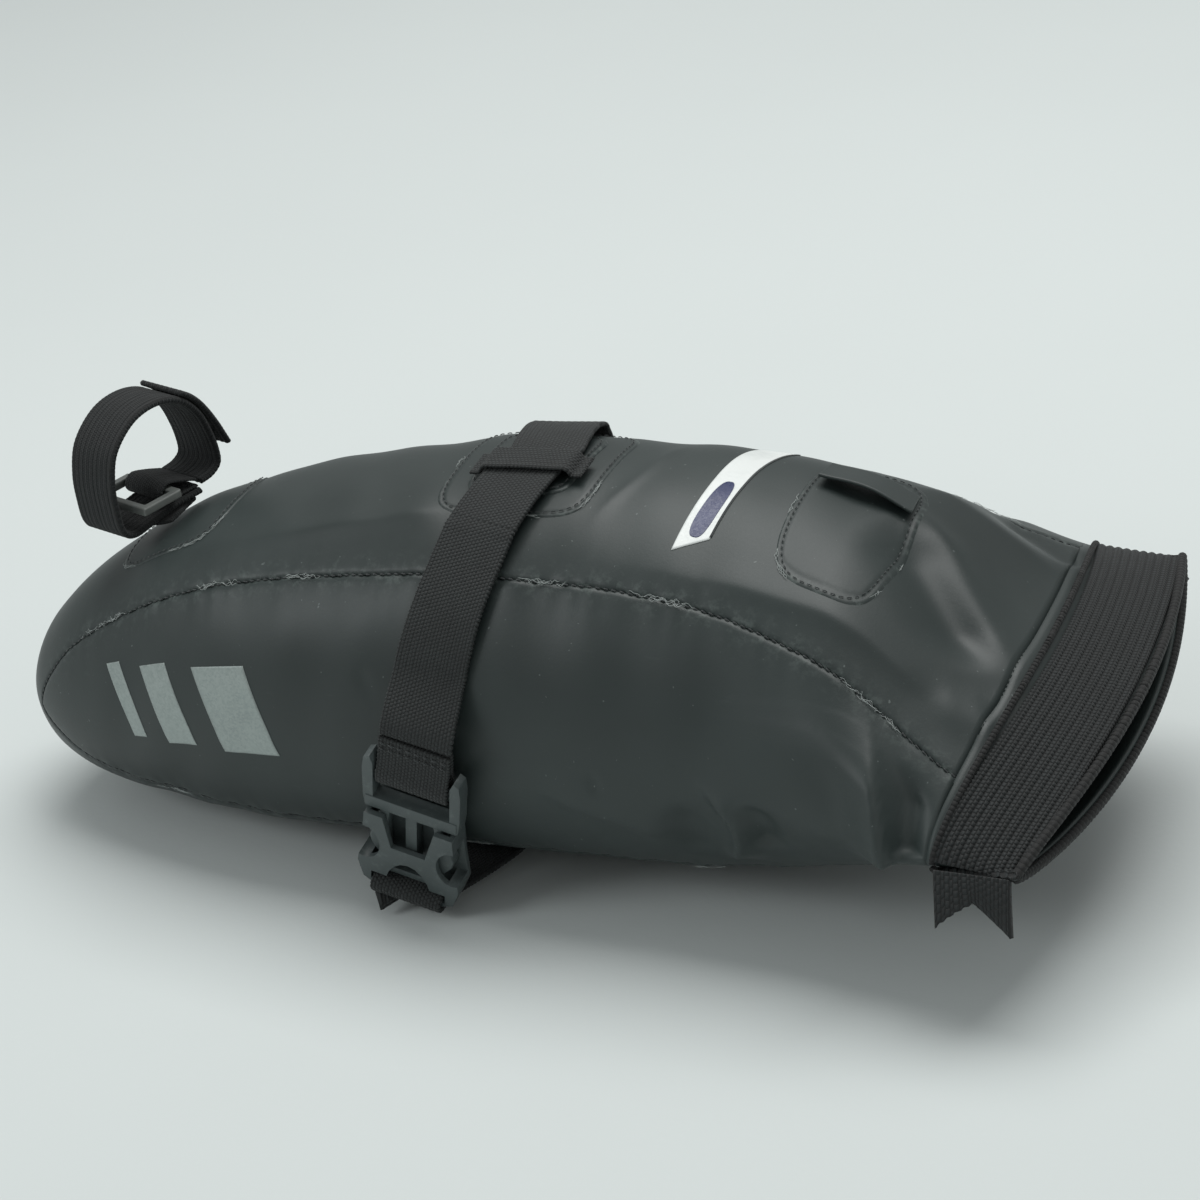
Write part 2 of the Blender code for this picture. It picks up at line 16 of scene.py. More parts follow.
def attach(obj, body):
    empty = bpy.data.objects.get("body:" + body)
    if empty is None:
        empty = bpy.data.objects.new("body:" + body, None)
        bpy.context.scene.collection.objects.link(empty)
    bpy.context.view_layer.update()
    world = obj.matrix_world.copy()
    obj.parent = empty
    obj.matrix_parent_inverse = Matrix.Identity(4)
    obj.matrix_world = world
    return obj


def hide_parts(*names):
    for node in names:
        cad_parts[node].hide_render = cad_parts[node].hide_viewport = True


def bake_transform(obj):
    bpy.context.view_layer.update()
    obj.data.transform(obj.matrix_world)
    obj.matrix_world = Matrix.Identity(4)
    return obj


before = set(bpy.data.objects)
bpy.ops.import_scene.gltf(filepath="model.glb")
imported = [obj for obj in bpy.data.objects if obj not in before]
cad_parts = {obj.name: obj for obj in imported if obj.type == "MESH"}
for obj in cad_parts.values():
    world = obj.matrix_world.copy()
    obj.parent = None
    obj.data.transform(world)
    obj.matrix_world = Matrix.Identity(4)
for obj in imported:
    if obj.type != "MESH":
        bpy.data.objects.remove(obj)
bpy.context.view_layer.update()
rng = np.random.default_rng(11)

MM = 0.001
FABRIC, WEB, PATCH, GAP = 0.0012, 0.0016, 0.0010, 0.0003
WEB_W, POST_W = 0.025, 0.021
X_SHIFT, Z_SHIFT = -0.1967, 0.0022
NOSE_SEAM, PANEL_END, MOUTH = 0.0094, 0.3512, 0.3810
TILT, SKEW, TILT_FROM = 6.5, 0.060, 0.24
BULGE, BULGE_FROM = 0.0125, 0.300

# a row a section: s, half width, top, bottom, height of the widest line, roundness (0.5 is an ellipse)
SECTIONS = np.array([
    [0.000, 0.012, 0.043, 0.037, 0.0400, 0.50],
    [0.004, 0.022, 0.057, 0.022, 0.0395, 0.50],
    [0.015, 0.032, 0.071, 0.010, 0.0400, 0.50],
    [0.039, 0.043, 0.089, 0.004, 0.0425, 0.48],
    [0.088, 0.056, 0.112, 0.000, 0.0520, 0.46],
    [0.147, 0.064, 0.126, 0.000, 0.0575, 0.45],
    [0.206, 0.068, 0.132, 0.000, 0.0600, 0.46],
    [0.259, 0.069, 0.131, 0.002, 0.0600, 0.50],
    [0.308, 0.074, 0.121, 0.013, 0.0585, 0.56],
    [0.354, 0.083, 0.082, 0.039, 0.0575, 0.62],
    [0.381, 0.082, 0.063, 0.052, 0.0575, 0.66],
])
SEAM_AT = np.array([0.0094, 0.012, 0.018, 0.030, 0.060, 0.120, 0.200, 0.270, 0.320, 0.354])
SEAM_UP = np.array([0.0, 12.0, 25.0, 37.0, 45.0, 48.0, 48.0, 48.0, 46.0, 42.0])
SEAM_DOWN = np.array([0.0, 7.0, 15.0, 26.0, 34.0, 40.0, 44.0, 48.0, 50.0, 48.0])
STRAP_S, STRAP_SLANT = 0.2045, 0.026


# ---- shapes ----------------------------------------------------------------------------------------------
def smooth(x, xs, ys):
    """Cubic through the rows that never overshoots them: slopes are weighted harmonic means of the steps."""
    x = np.asarray(x, float)
    h = np.diff(xs)
    d = np.diff(ys) / h
    a, b = 2 * h[1:] + h[:-1], h[1:] + 2 * h[:-1]
    same = d[:-1] * d[1:] > 0
    safe = np.where(same, a / np.where(same, d[:-1], 1) + b / np.where(same, d[1:], 1), 1)
    m = np.concatenate([[d[0]], np.where(same, (a + b) / safe, 0), [d[-1]]])
    k = np.clip(np.searchsorted(xs, x) - 1, 0, len(xs) - 2)
    t = np.clip((x - xs[k]) / h[k], 0, 1)
    return (ys[k] * (1 + 2 * t) * (1 - t) ** 2 + m[k] * h[k] * t * (1 - t) ** 2
            + ys[k + 1] * t * t * (3 - 2 * t) + m[k + 1] * h[k] * t * t * (t - 1))


def ease(x):
    x = np.clip(x, 0, 1)
    return x * x * (3 - 2 * x)


def skin(s, phi, lift=0.0):
    """Superellipse of the section at s grown by lift, turned about the bag's length towards the mouth, where
    it is skewed and its middle is pushed out as one less the square of the share of the half width."""
    s, phi, lift = np.broadcast_arrays(np.asarray(s, float), np.radians(phi), np.asarray(lift, float))
    w, top, bottom, mid, power = (smooth(s, SECTIONS[:, 0], SECTIONS[:, k]) for k in range(1, 6))
    c, n = np.cos(phi), np.sin(phi)
    y = (w + lift) * np.sign(c) * np.abs(c) ** 0.9
    half = np.where(n >= 0, top - mid, mid - bottom) + lift
    z = half * np.sign(n) * np.abs(n) ** (2 * power)
    q = np.clip((s - TILT_FROM) / (MOUTH - TILT_FROM), 0, 1)
    a = np.radians(TILT) * q
    ramp = np.clip((s - BULGE_FROM) / (0.354 - BULGE_FROM), 0, 1) ** 2
    x = s + SKEW * y * q * q + BULGE * ramp * (1 - (y / (w + lift)) ** 2)
    y, z = y * np.cos(a) - z * np.sin(a), y * np.sin(a) + z * np.cos(a) + mid
    return np.stack([x + X_SHIFT, y, z + Z_SHIFT], -1)


def unit(v):
    return v / np.maximum(np.linalg.norm(v, axis=-1, keepdims=True), 1e-12)


def curve(points, n):
    """n points evenly spaced along the Catmull-Rom curve through the given ones."""
    p = np.asarray(points, float)
    ends = np.concatenate([[2 * p[0] - p[1]], p, [2 * p[-1] - p[-2]]])
    t = np.linspace(0, 1, 24, endpoint=False)[None, :, None]
    a, b, c, d = (ends[k:len(p) - 1 + k, None] for k in range(4))
    fine = 0.5 * (2 * b + (c - a) * t + (2 * a - 5 * b + 4 * c - d) * t**2 + (3 * b - a - 3 * c + d) * t**3)
    fine = np.concatenate([fine.reshape(-1, p.shape[1]), p[-1:]])
    run = np.concatenate([[0], np.cumsum(np.linalg.norm(np.diff(fine, axis=0), axis=1))])
    return np.stack([np.interp(np.linspace(0, run[-1], n), run, fine[:, k]) for k in range(p.shape[1])], 1)


# A fold: its path in (s, phi), height in mm, width in mm on its left and right, and 1 for a sharp crest or 2
# for a round one.
FOLDS = [
    # near side, towards the mouth
    ([(0.325, 134), (0.330, 143), (0.334, 154), (0.337, 168), (0.338, 186), (0.334, 206)], 7.5, 15, 2.8, 1.1),
    ([(0.338, 141), (0.342, 152), (0.344, 170), (0.343, 190)], -5.0, 5, 5, 2),
    ([(0.316, 150), (0.321, 166), (0.324, 186), (0.322, 204)], -2.4, 9, 9, 2),
    ([(0.270, 174), (0.277, 180), (0.284, 189), (0.283, 202), (0.276, 216)], 5.2, 2.6, 8, 1.15),
    ([(0.287, 178), (0.293, 190), (0.292, 206)], -3.6, 6, 6, 2),
    ([(0.262, 186), (0.268, 200), (0.266, 214)], -2.1, 7, 7, 2),
    ([(0.200, 186), (0.222, 189), (0.246, 196), (0.262, 204)], 2.0, 5, 10, 1.4),
    ([(0.236, 180), (0.239, 187)], -1.0, 2.0, 2.0, 2),
    ([(0.156, 158), (0.161, 165), (0.163, 171)], -1.2, 2.6, 2.6, 2),
    # top, towards the mouth
    ([(0.313, 86), (0.322, 91), (0.333, 99), (0.347, 108)], -5.4, 9, 8, 2),
    ([(0.316, 76), (0.325, 82), (0.341, 95), (0.356, 108)], 3.6, 8, 6, 1.5),
    ([(0.312, 62), (0.332, 66), (0.354, 70)], 2.2, 7, 10, 1.5),
    ([(0.330, 50), (0.344, 54), (0.356, 58)], -2.2, 8, 8, 2),
    ([(0.333, 122), (0.343, 121), (0.354, 118)], 1.8, 8, 8, 2),
    # long soft ridges beside the top seams
    ([(0.226, 124), (0.262, 125), (0.297, 122), (0.326, 120), (0.340, 123)], 1.7, 5, 8, 1.5),
    ([(0.060, 116), (0.106, 117), (0.145, 115), (0.186, 111)], 2.0, 6, 7, 1.4),
    ([(0.229, 118), (0.235, 104), (0.241, 88), (0.243, 70)], 0.8, 1.6, 3.0, 1.2),
    # far side and underneath
    ([(0.325, 44), (0.333, 30), (0.338, 12), (0.336, -10), (0.330, -30)], 4.2, 12, 7, 1.2),
    ([(0.300, 20), (0.308, 2), (0.306, -20)], -2.7, 9, 9, 2),
    ([(0.205, -10), (0.240, -6), (0.275, 4), (0.296, 16)], 2.1, 10, 7, 1.4),
    ([(0.258, 30), (0.285, 24), (0.312, 14)], -1.8, 9, 9, 2),
    ([(0.100, -8), (0.128, 2), (0.150, 16)], 1.5, 8, 8, 2),
    ([(0.300, 238), (0.318, 256), (0.330, 280)], 3.0, 9, 9, 1.5),
    ([(0.322, 232), (0.338, 262), (0.341, 296)], -3.0, 8, 8, 2),
    ([(0.230, 240), (0.262, 262), (0.290, 290)], -1.7, 12, 12, 2),
]


def chart(s, phi, middle):
    """Flat map of the skin in mm, phi unrolled about middle: 1.15 mm a degree at full girth, less at
    the nose."""
    turn = (np.asarray(phi, float) - middle + 180) % 360 - 180
    girth = smooth(s, SECTIONS[:, 0], SECTIONS[:, 1]) / 0.068
    return np.stack(np.broadcast_arrays(np.asarray(s, float) / MM, turn * 1.15 * girth), -1)


def fold(s, phi, path, height, left, right, crisp):
    """Height of one fold: exp(-(distance / width) ** crisp) of its path, fading out at both ends."""
    line = curve(path, 13)
    middle = line[:, 1].mean()
    line, at = chart(line[:, 0], line[:, 1], middle), chart(s, phi, middle)
    middle, reach = (line.min(0) + line.max(0)) / 2, np.ptp(line, axis=0) / 2 + 3.2 * max(left, right)
    box = (np.abs(at - middle) < reach).all(-1)
    out = np.zeros(at.shape[:-1])
    p = at[box]
    a, ab = line[:-1], np.diff(line, axis=0)
    ap = p[:, None] - a
    t = np.clip((ap * ab).sum(-1) / (ab**2).sum(-1), 0, 1)
    gap = ap - ab * t[..., None]
    far = np.linalg.norm(gap, axis=-1)
    k = far.argmin(1)
    row = np.arange(len(p))
    run = (k + t[row, k]) / len(ab)
    side = ab[k, 0] * ap[row, k, 1] - ab[k, 1] * ap[row, k, 0]
    width = right + (left - right) * ease(0.5 + side / (2.0 * np.linalg.norm(ab[k], axis=1)))
    shape = np.exp(-((far[row, k] ** 2 + 0.25) ** 0.5 / width) ** crisp)
    out[box] = height * MM * shape * ease(run / 0.3) * ease((1 - run) / 0.3)
    return out


def relief(s, phi):
    """Fullness of the fabric: soft swells of four crossing waves, the folds, and nothing under the buckles."""
    s, phi = np.broadcast_arrays(np.asarray(s, float), np.asarray(phi, float))
    turn = np.radians(phi)
    swell = 0.45 * np.sin(s * 62 + 3 * np.sin(turn)) * np.cos(2 * turn + s * 21)
    swell += 0.30 * np.sin(s * 131 + 4 * np.cos(turn + 1) + 2) * np.sin(3 * turn + s * 43)
    swell += 0.16 * np.sin(s * 230 + 9 * np.sin(turn + 2)) + 0.12 * np.sin(7 * turn + 60 * s)
    out = swell * MM * ease((s - 0.02) / 0.05) * ease((0.372 - s) / 0.03)
    for path, height, left, right, crisp in FOLDS:
        out = out + fold(s, phi, path, height, left, right, crisp)
    near = (phi + 90) % 360 - 90
    below = np.minimum(np.abs(near - 196), np.abs(near + 16))
    flat = ease((np.hypot((s - 0.181) / 0.034, below / 40) - 0.75) / 0.7)
    return out * flat - 0.0004 * (1 - flat)


def cloth(s, phi, lift=0.0):
    """Points of the fabric's outer face, or of a layer lifted from it."""
    return skin(s, phi, np.asarray(lift) + relief(s, phi))


def seams(s):
    """Angles of the upper and lower seam of a side panel, from its widest line."""
    return smooth(s, SEAM_AT, SEAM_UP), smooth(s, SEAM_AT, SEAM_DOWN)


# ---- making pieces ---------------------------------------------------------------------------------------
def new_mesh(name, points, faces, material, uv=None, marks=None):
    """A mesh object of quads, with one UV pair for each face corner and one float for each point in marks."""
    mesh = bpy.data.meshes.new(name)
    points = np.asarray(points, np.float32).reshape(-1, 3)
    faces = np.asarray(faces, np.int32)
    mesh.vertices.add(len(points))
    mesh.vertices.foreach_set("co", points.ravel())
    mesh.loops.add(faces.size)
    mesh.loops.foreach_set("vertex_index", faces.ravel())
    mesh.polygons.add(len(faces))
    mesh.polygons.foreach_set("loop_start", np.arange(0, faces.size, 4, dtype=np.int32))
    if uv is not None:
        mesh.uv_layers.new(name="mm").data.foreach_set("uv", np.asarray(uv, np.float32).ravel())
    for key, values in (marks or {}).items():
        mark = mesh.attributes.new(key, "FLOAT", "POINT")
        mark.data.foreach_set("value", np.asarray(values, np.float32).ravel())
    mesh.update(calc_edges=True)
    mesh.polygons.foreach_set("use_smooth", np.ones(len(faces), bool))
    mesh.materials.append(material)
    obj = bpy.data.objects.new(name, mesh)
    bpy.context.scene.collection.objects.link(obj)
    return obj


def quads(rows, columns, ring=False):
    """Corner indices of a grid's quads, joined round its columns when ring is true."""
    i, j = np.meshgrid(np.arange(rows - 1), np.arange(columns - (not ring)), indexing="ij")
    k = (j + 1) % columns
    this, following = i * columns, (i + 1) * columns
    return np.stack([this + j, following + j, following + k, this + k], -1).reshape(-1, 4)


def corner_uv(u, v):
    """UV of every quad's corners from row lengths u and column lengths v, in mm."""
    i, j = np.meshgrid(np.arange(len(u) - 1), np.arange(len(v) - 1), indexing="ij")
    i, j = i.ravel(), j.ravel()
    return np.stack([np.stack([u[i + a], v[j + b]], -1) for a, b in ((0, 0), (1, 0), (1, 1), (0, 1))], 1) / MM


def lengths(points):
    """Running length along the first axis of a line of points."""
    return np.concatenate([[0], np.cumsum(np.linalg.norm(np.diff(points, axis=0), axis=-1))])


def facing_out(points, faces):
    """The same quads, turned so that they enclose a positive volume about the piece's middle."""
    p = points.reshape(-1, 3) - points.reshape(-1, 3).mean(0)
    a, b, c, d = (p[faces[:, k]] for k in range(4))
    volume = np.einsum("ij,ij->", a, np.cross(b, c)) + np.einsum("ij,ij->", a, np.cross(c, d))
    return volume > 0


def weld(obj, reach=1e-6):
    """Merges points that coincide, which closes seams and poles."""
    work = bmesh.new()
    work.from_mesh(obj.data)
    bmesh.ops.remove_doubles(work, verts=work.verts, dist=reach)
    work.to_mesh(obj.data)
    work.free()
    return obj


def turned(faces, uv=None):
    """Faces, and their UVs, with the corner order reversed."""
    return faces[:, ::-1], None if uv is None else uv[:, ::-1]


def fabric_sheet(name, points, thick, material, marks=None, middle=(0, 0, 0.058)):
    """A grid of points given an inner face: quads that face away from middle, then Solidify inwards."""
    faces = quads(*points.shape[:2])
    uv = corner_uv(lengths(points[:, points.shape[1] // 2]), lengths(points[points.shape[0] // 2]))
    p = points.reshape(-1, 3)
    normal = np.cross(p[faces[:, 2]] - p[faces[:, 0]], p[faces[:, 3]] - p[faces[:, 1]])
    if np.einsum("ij,ij->", normal, p[faces].mean(1) - np.asarray(middle)) < 0:
        faces, uv = turned(faces, uv)
    obj = new_mesh(name, points, faces, material, uv, marks)
    wall = obj.modifiers.new("wall", "SOLIDIFY")
    wall.thickness, wall.offset, wall.use_even_offset = thick, -1.0, False
    return obj


def webbing(name, centre, wide, width, thick, material, ribs=0, rib=0.0, edge=0.0, columns=30):
    """Woven strap: a flat profile with half-round edges, ribbed lengthwise, carried along the centre line.

    Across the strap the profile runs edge to edge on the outer face, round, and back on the inner one. The
    outer face rises by rib times |sin| of ribs half waves, and edge is how far the selvedge's knots bulge.
    """
    n = len(centre)
    run = unit(np.gradient(centre, axis=0))
    across = unit(wide - run * (wide * run).sum(-1, keepdims=True))
    normal = np.cross(run, across)
    r = thick / 2
    flat = np.linspace(-1, 1, columns) * (width / 2 - r)
    round_ = np.radians(np.linspace(90, -90, 7)[1:-1])
    side = width / 2 - r + r * np.cos(round_)
    a = np.concatenate([flat, side, flat[::-1], -side])
    c = np.concatenate([np.full(columns, r), r * np.sin(round_), np.full(columns, -r), -r * np.sin(round_)])
    wave = np.abs(np.sin(np.pi * ribs * (a / width + 0.5))) - 0.6
    c = c + np.sign(c) * (np.abs(c) > 0.9 * r) * rib * wave
    length = lengths(centre)
    knots = edge * np.sin(2 * np.pi * length / 0.0015)[:, None] * ease((np.abs(a) / (width / 2) - 0.9) / 0.1)
    a2 = a[None] + np.sign(a)[None] * knots
    fade = np.ones(n)
    fade[[0, -1]] = 0.0
    out = c[None] * fade[:, None]
    points = centre[:, None] + across[:, None] * a2[..., None] + normal[:, None] * out[..., None]
    faces = quads(n, len(a), ring=True)
    girth = np.concatenate([a, [a[0] - r]]) + np.where(np.arange(len(a) + 1) > columns + 4, 0.1, 0.0)
    uv = corner_uv(length, girth)
    if not facing_out(points, faces):
        faces, uv = turned(faces, uv)
    return weld(new_mesh(name, points, faces, material, uv))


def threads(name, centre, normal, radius, material, sides=5):
    """Many threads at once: tubes round the lines centre[k], tapered to a point at both ends."""
    k, n = centre.shape[:2]
    run = unit(np.gradient(centre, axis=1))
    side = unit(np.cross(run, normal))
    up = np.cross(side, run)
    angle = np.linspace(0, 2 * np.pi, sides, endpoint=False)
    size = np.full(n, radius)
    size[[0, -1]] = 0.0
    ring = side[:, :, None] * np.cos(angle)[:, None] + up[:, :, None] * np.sin(angle)[:, None]
    points = centre[:, :, None] + ring * size[:, None, None]
    one = quads(n, sides, ring=True)
    faces = (one[None] + np.arange(k)[:, None, None] * n * sides).reshape(-1, 4)
    if not facing_out(points[0], one):
        faces = faces[:, ::-1]
    return weld(new_mesh(name, points, faces, material))


def pace(line, step, start=0.0, stop=None):
    """(s, phi) at even steps of real length along a seam given as dense (s, phi) rows."""
    run = lengths(cloth(line[:, 0], line[:, 1]))
    at = np.arange(start, run[-1] if stop is None else stop, step)
    return np.stack([np.interp(at, run, line[:, 0]), np.interp(at, run, line[:, 1])], 1), run[-1]


def stitches(name, line, material, pitch=0.0030, long=0.0023, radius=0.00022, lift=0.0002, lean=0.0):
    """Lock stitches along a line on the cloth: short threads that arch out of one needle hole into the next."""
    seats, _ = pace(line, pitch, pitch / 2)
    share = long / pitch
    t = np.linspace(-0.5, 0.5, 6) * share
    ahead = np.gradient(seats, axis=0)
    centre = seats[:, None] + ahead[:, None] * t[None, :, None]
    arch = lift + radius * 1.3 * np.cos(np.linspace(-0.5, 0.5, 6) * np.pi * 1.05)
    points = cloth(centre[..., 0], centre[..., 1], arch[None])
    out = unit(cloth(seats[:, 0], seats[:, 1], 0.002) - cloth(seats[:, 0], seats[:, 1]))[:, None]
    if lean:
        across = unit(np.cross(points[:, -1] - points[:, 0], out[:, 0]))[:, None]
        points = points + across * (t / share * lean)[None, :, None]
    return threads(name, points, np.broadcast_to(out, points.shape), radius, material)


def fraying(name, line, spans, material, count=9, radius=0.00006, spread=0.0010):
    """Worn thread: loose fibres that lie along a line over each span of it, each wandering by seeded sines."""
    run = lengths(cloth(line[:, 0], line[:, 1]))
    bits = []
    for first, last in spans:
        number = max(3, int(count * (last - first) / 0.01))
        start = rng.uniform(first, last, number)
        reach = rng.uniform(0.0018, 0.0062, number)
        at = start[:, None] + reach[:, None] * np.linspace(-0.5, 0.5, 9)
        s, phi = np.interp(at, run, line[:, 0]), np.interp(at, run, line[:, 1])
        t = np.linspace(0, 1, 9)
        phase = rng.uniform(0, 6.28, (number, 4, 1))
        wander = spread * rng.uniform(0.15, 1.0, (number, 1)) * (
            np.sin(3.1 * t + phase[:, 0]) + 0.45 * np.sin(9.5 * t + phase[:, 1]))
        lift = 0.00035 + 0.0005 * np.abs(np.sin(4.2 * t + phase[:, 2])) * rng.uniform(0, 1, (number, 1))
        points = cloth(s, phi, lift)
        out = unit(cloth(s, phi, lift + 0.002) - points)
        across = unit(np.cross(np.gradient(points, axis=1), out))
        bits.append(points + across * wander[..., None])
    points = np.concatenate(bits)
    return threads(name, points, np.broadcast_to([0.31, 0.22, 0.92], points.shape), radius, material, 4)


# ---- materials -------------------------------------------------------------------------------------------
def srgb(code):
    """sRGB hex to linear RGBA."""
    c = np.array([int(code[i:i + 2], 16) / 255 for i in (0, 2, 4)])
    return tuple(np.where(c <= 0.04045, c / 12.92, ((c + 0.055) / 1.055) ** 2.4)) + (1.0,)


class Maker:
    """One material's node tree, with its Principled shader."""

    def __init__(self, name, **settings):
        self.material = bpy.data.materials.new(name)
        self.material.use_nodes = True
        self.nodes, self.links = self.material.node_tree.nodes, self.material.node_tree.links
        self.shader = self.nodes["Principled BSDF"]
        for key, value in settings.items():
            self.shader.inputs[key.replace("_", " ")].default_value = value

    def add(self, kind, inputs=(), **settings):
        """A node with its settings, and its inputs by index or name: a socket is linked, a value is set."""
        node = self.nodes.new(kind)
        for key, value in settings.items():
            setattr(node, key, value)
        for key, value in dict(inputs).items():
            if isinstance(value, bpy.types.NodeSocket):
                self.links.new(value, node.inputs[key])
            else:
                node.inputs[key].default_value = value
        return node

    def math(self, operation, a, b=0.0, c=0.0):
        return self.add("ShaderNodeMath", {0: a, 1: b, 2: c}, operation=operation).outputs[0]

    def noise(self, where, scale, detail=3.0, rough=0.5):
        return self.add("ShaderNodeTexNoise", {"Vector": where, "Scale": scale, "Detail": detail,
                                               "Roughness": rough}).outputs["Fac"]

    def span(self, value, low, high, out_low=0.0, out_high=1.0):
        return self.add("ShaderNodeMapRange", {0: value, 1: low, 2: high, 3: out_low, 4: out_high}).outputs[0]

    def blend(self, share, a, b):
        return self.add("ShaderNodeMix", {0: share, 6: a, 7: b}, data_type="RGBA").outputs[2]

    def finish(self, colour, rough, height, distance, strength=1.0):
        bump = self.add("ShaderNodeBump", {"Height": height, "Distance": distance, "Strength": strength})
        self.links.new(bump.outputs[0], self.shader.inputs["Normal"])
        for value, name in ((colour, "Base Color"), (rough, "Roughness")):
            self.links.new(value, self.shader.inputs[name])
        return self.material

    @property
    def place(self):
        return self.add("ShaderNodeTexCoord").outputs["Object"]


def coated_fabric(name="tpu_coated_nylon", base="2F3837", deep="232B2A", worn="59625F"):
    """TPU-coated nylon, calendered: even satin skin with a fine pebble, dust specks, and seams rubbed pale."""
    m = Maker(name, IOR=1.47, Coat_Weight=0.10, Coat_Roughness=0.38)
    place = m.place
    broad = m.noise(place, 9.0, 4.0, 0.55)
    fine = m.noise(place, 2600.0, 2.0)              # 0.4 mm pebble
    weave = m.noise(place, 900.0, 3.0, 0.6)         # 1.1 mm, the yarn ghosting through the coat
    speck = m.span(m.noise(place, 620.0, 1.0), 0.775, 0.80)
    edge = m.add("ShaderNodeAttribute", attribute_name="edge").outputs["Fac"]
    rub = m.math("MULTIPLY", edge, m.span(m.noise(place, 340.0, 3.0, 0.7), 0.50, 0.68))
    drawn = m.add("ShaderNodeMapping", {"Vector": place, "Scale": (0.25, 1.0, 1.6)}).outputs[0]
    scuff = m.span(m.noise(drawn, 260.0, 4.0, 0.62), 0.64, 0.80, 0.0, 0.35)
    tone = m.blend(m.span(broad, 0.32, 0.68), srgb(deep), srgb(base))
    tone = m.blend(m.math("MULTIPLY", rub, 0.75), tone, srgb(worn))
    tone = m.blend(m.math("MULTIPLY", scuff, 0.30), tone, srgb(worn))
    tone = m.blend(m.math("MULTIPLY", speck, 0.30), tone, srgb("8A9391"))
    rough = m.math("ADD", m.span(broad, 0.3, 0.7, 0.40, 0.50), m.math("MULTIPLY", fine, 0.10))
    height = m.math("ADD", m.math("MULTIPLY", fine, 0.35), m.math("MULTIPLY", weave, 0.65))
    return m.finish(tone, rough, height, 0.00010, 0.55)


def woven(name, along, across, light, gap_shade, depth, stagger=0.5, gloss=0.72):
    """Webbing in plain weave: knots along mm long and across mm wide, every second row moved by stagger, with
    painted shade in the gaps between the knots.
    """
    m = Maker(name, IOR=1.5, Sheen_Weight=0.06, Sheen_Roughness=0.5)
    uv = m.add("ShaderNodeUVMap", uv_map="mm").outputs[0]
    parts = m.add("ShaderNodeSeparateXYZ", {0: uv})
    row = m.math("DIVIDE", parts.outputs[1], across)
    step = m.math("MULTIPLY", m.math("FLOOR", row), stagger)
    column = m.math("ADD", m.math("DIVIDE", parts.outputs[0], along), step)
    over = m.math("ABSOLUTE", m.math("SINE", m.math("MULTIPLY", column, math.pi)))
    wide = m.math("ABSOLUTE", m.math("SINE", m.math("MULTIPLY", row, math.pi)))
    # 1 on a knot's crown, 0 in the gaps: it drives the bump and the painted shade between the knots
    knot_relief_and_shade = m.math("MULTIPLY", m.math("POWER", over, 0.6), m.math("POWER", wide, 0.6))
    hair = m.noise(m.place, 3200.0, 2.0)            # 0.3 mm, single filaments
    patchy = m.noise(m.place, 130.0, 3.0)
    share = m.math("MULTIPLY", knot_relief_and_shade, m.span(patchy, 0.3, 0.7, 0.65, 1.0))
    share = m.math("MULTIPLY", share, m.span(hair, 0.25, 0.75, 0.6, 1.15))
    # painted shade: towards the gaps the colour falls to the darker one; patchy and hair noise only vary the
    # tone
    tone = m.blend(share, srgb(gap_shade), srgb(light))
    rough = m.span(hair, 0.2, 0.8, gloss - 0.08, gloss + 0.12)
    return m.finish(tone, rough, m.math("ADD", knot_relief_and_shade, m.math("MULTIPLY", hair, 0.3)), depth)


def moulded(name, base, lighter, rough=0.40):
    """Injection-moulded plastic: fine spark-eroded grain, faint flow mottling and paler rubbed patches."""
    m = Maker(name, IOR=1.48)
    place = m.place
    grain = m.noise(place, 2400.0, 2.0)             # 0.4 mm grain
    flow = m.noise(place, 60.0, 3.0)
    rub = m.span(m.noise(place, 330.0, 4.0, 0.65), 0.56, 0.78)
    tone = m.blend(m.math("MULTIPLY", rub, 0.4), m.blend(flow, srgb(base), srgb(lighter)), srgb("7A8382"))
    return m.finish(tone, m.span(flow, 0.3, 0.7, rough - 0.06, rough + 0.10), grain, 0.00005, 0.6)


def film(name, base, shade, rough=0.4, bead=0.0):
    """Printed film: a flat ink with faint dirt, and glass beads that glitter where bead is above nothing."""
    m = Maker(name, IOR=1.5, Metallic=0.35 if bead else 0.0)
    place = m.place
    dirt = m.span(m.noise(place, 70.0, 5.0, 0.65), 0.42, 0.72)
    beads = m.add("ShaderNodeTexVoronoi", {"Vector": place, "Scale": 1500.0}).outputs["Color"]
    sparkle = m.add("ShaderNodeSeparateColor", {0: beads}).outputs[0]
    tone = m.blend(m.math("MULTIPLY", dirt, 0.45), srgb(base), srgb(shade))
    tone = m.blend(m.math("MULTIPLY", sparkle, bead), tone, srgb("C3CAC7"))
    return m.finish(tone, m.span(sparkle, 0, 1, rough - 0.08, rough + 0.08), sparkle, 0.00003, 0.5)


def yarn(name, base, tip, rough=0.8):
    """Twisted polyester thread: uneven in colour where dust and wear have caught it."""
    m = Maker(name, Sheen_Weight=0.3)
    twist = m.noise(m.place, 1800.0, 2.0)
    tone = m.blend(twist, srgb(base), srgb(tip))
    return m.finish(tone, m.span(twist, 0, 1, rough - 0.1, rough + 0.1), twist, 0.00005)


def studio_floor():
    """Matt painted board: pale grey-green with the faintest roller mottling."""
    m = Maker("matt_painted_board", Specular_IOR_Level=0.2)
    mottle = m.noise(m.place, 3.0, 5.0)
    return m.finish(m.blend(mottle, srgb("C9CFCE"), srgb("CED4D3")), m.span(mottle, 0, 1, 0.82, 0.92),
                    m.noise(m.place, 420.0, 3.0), 0.0002, 0.25)


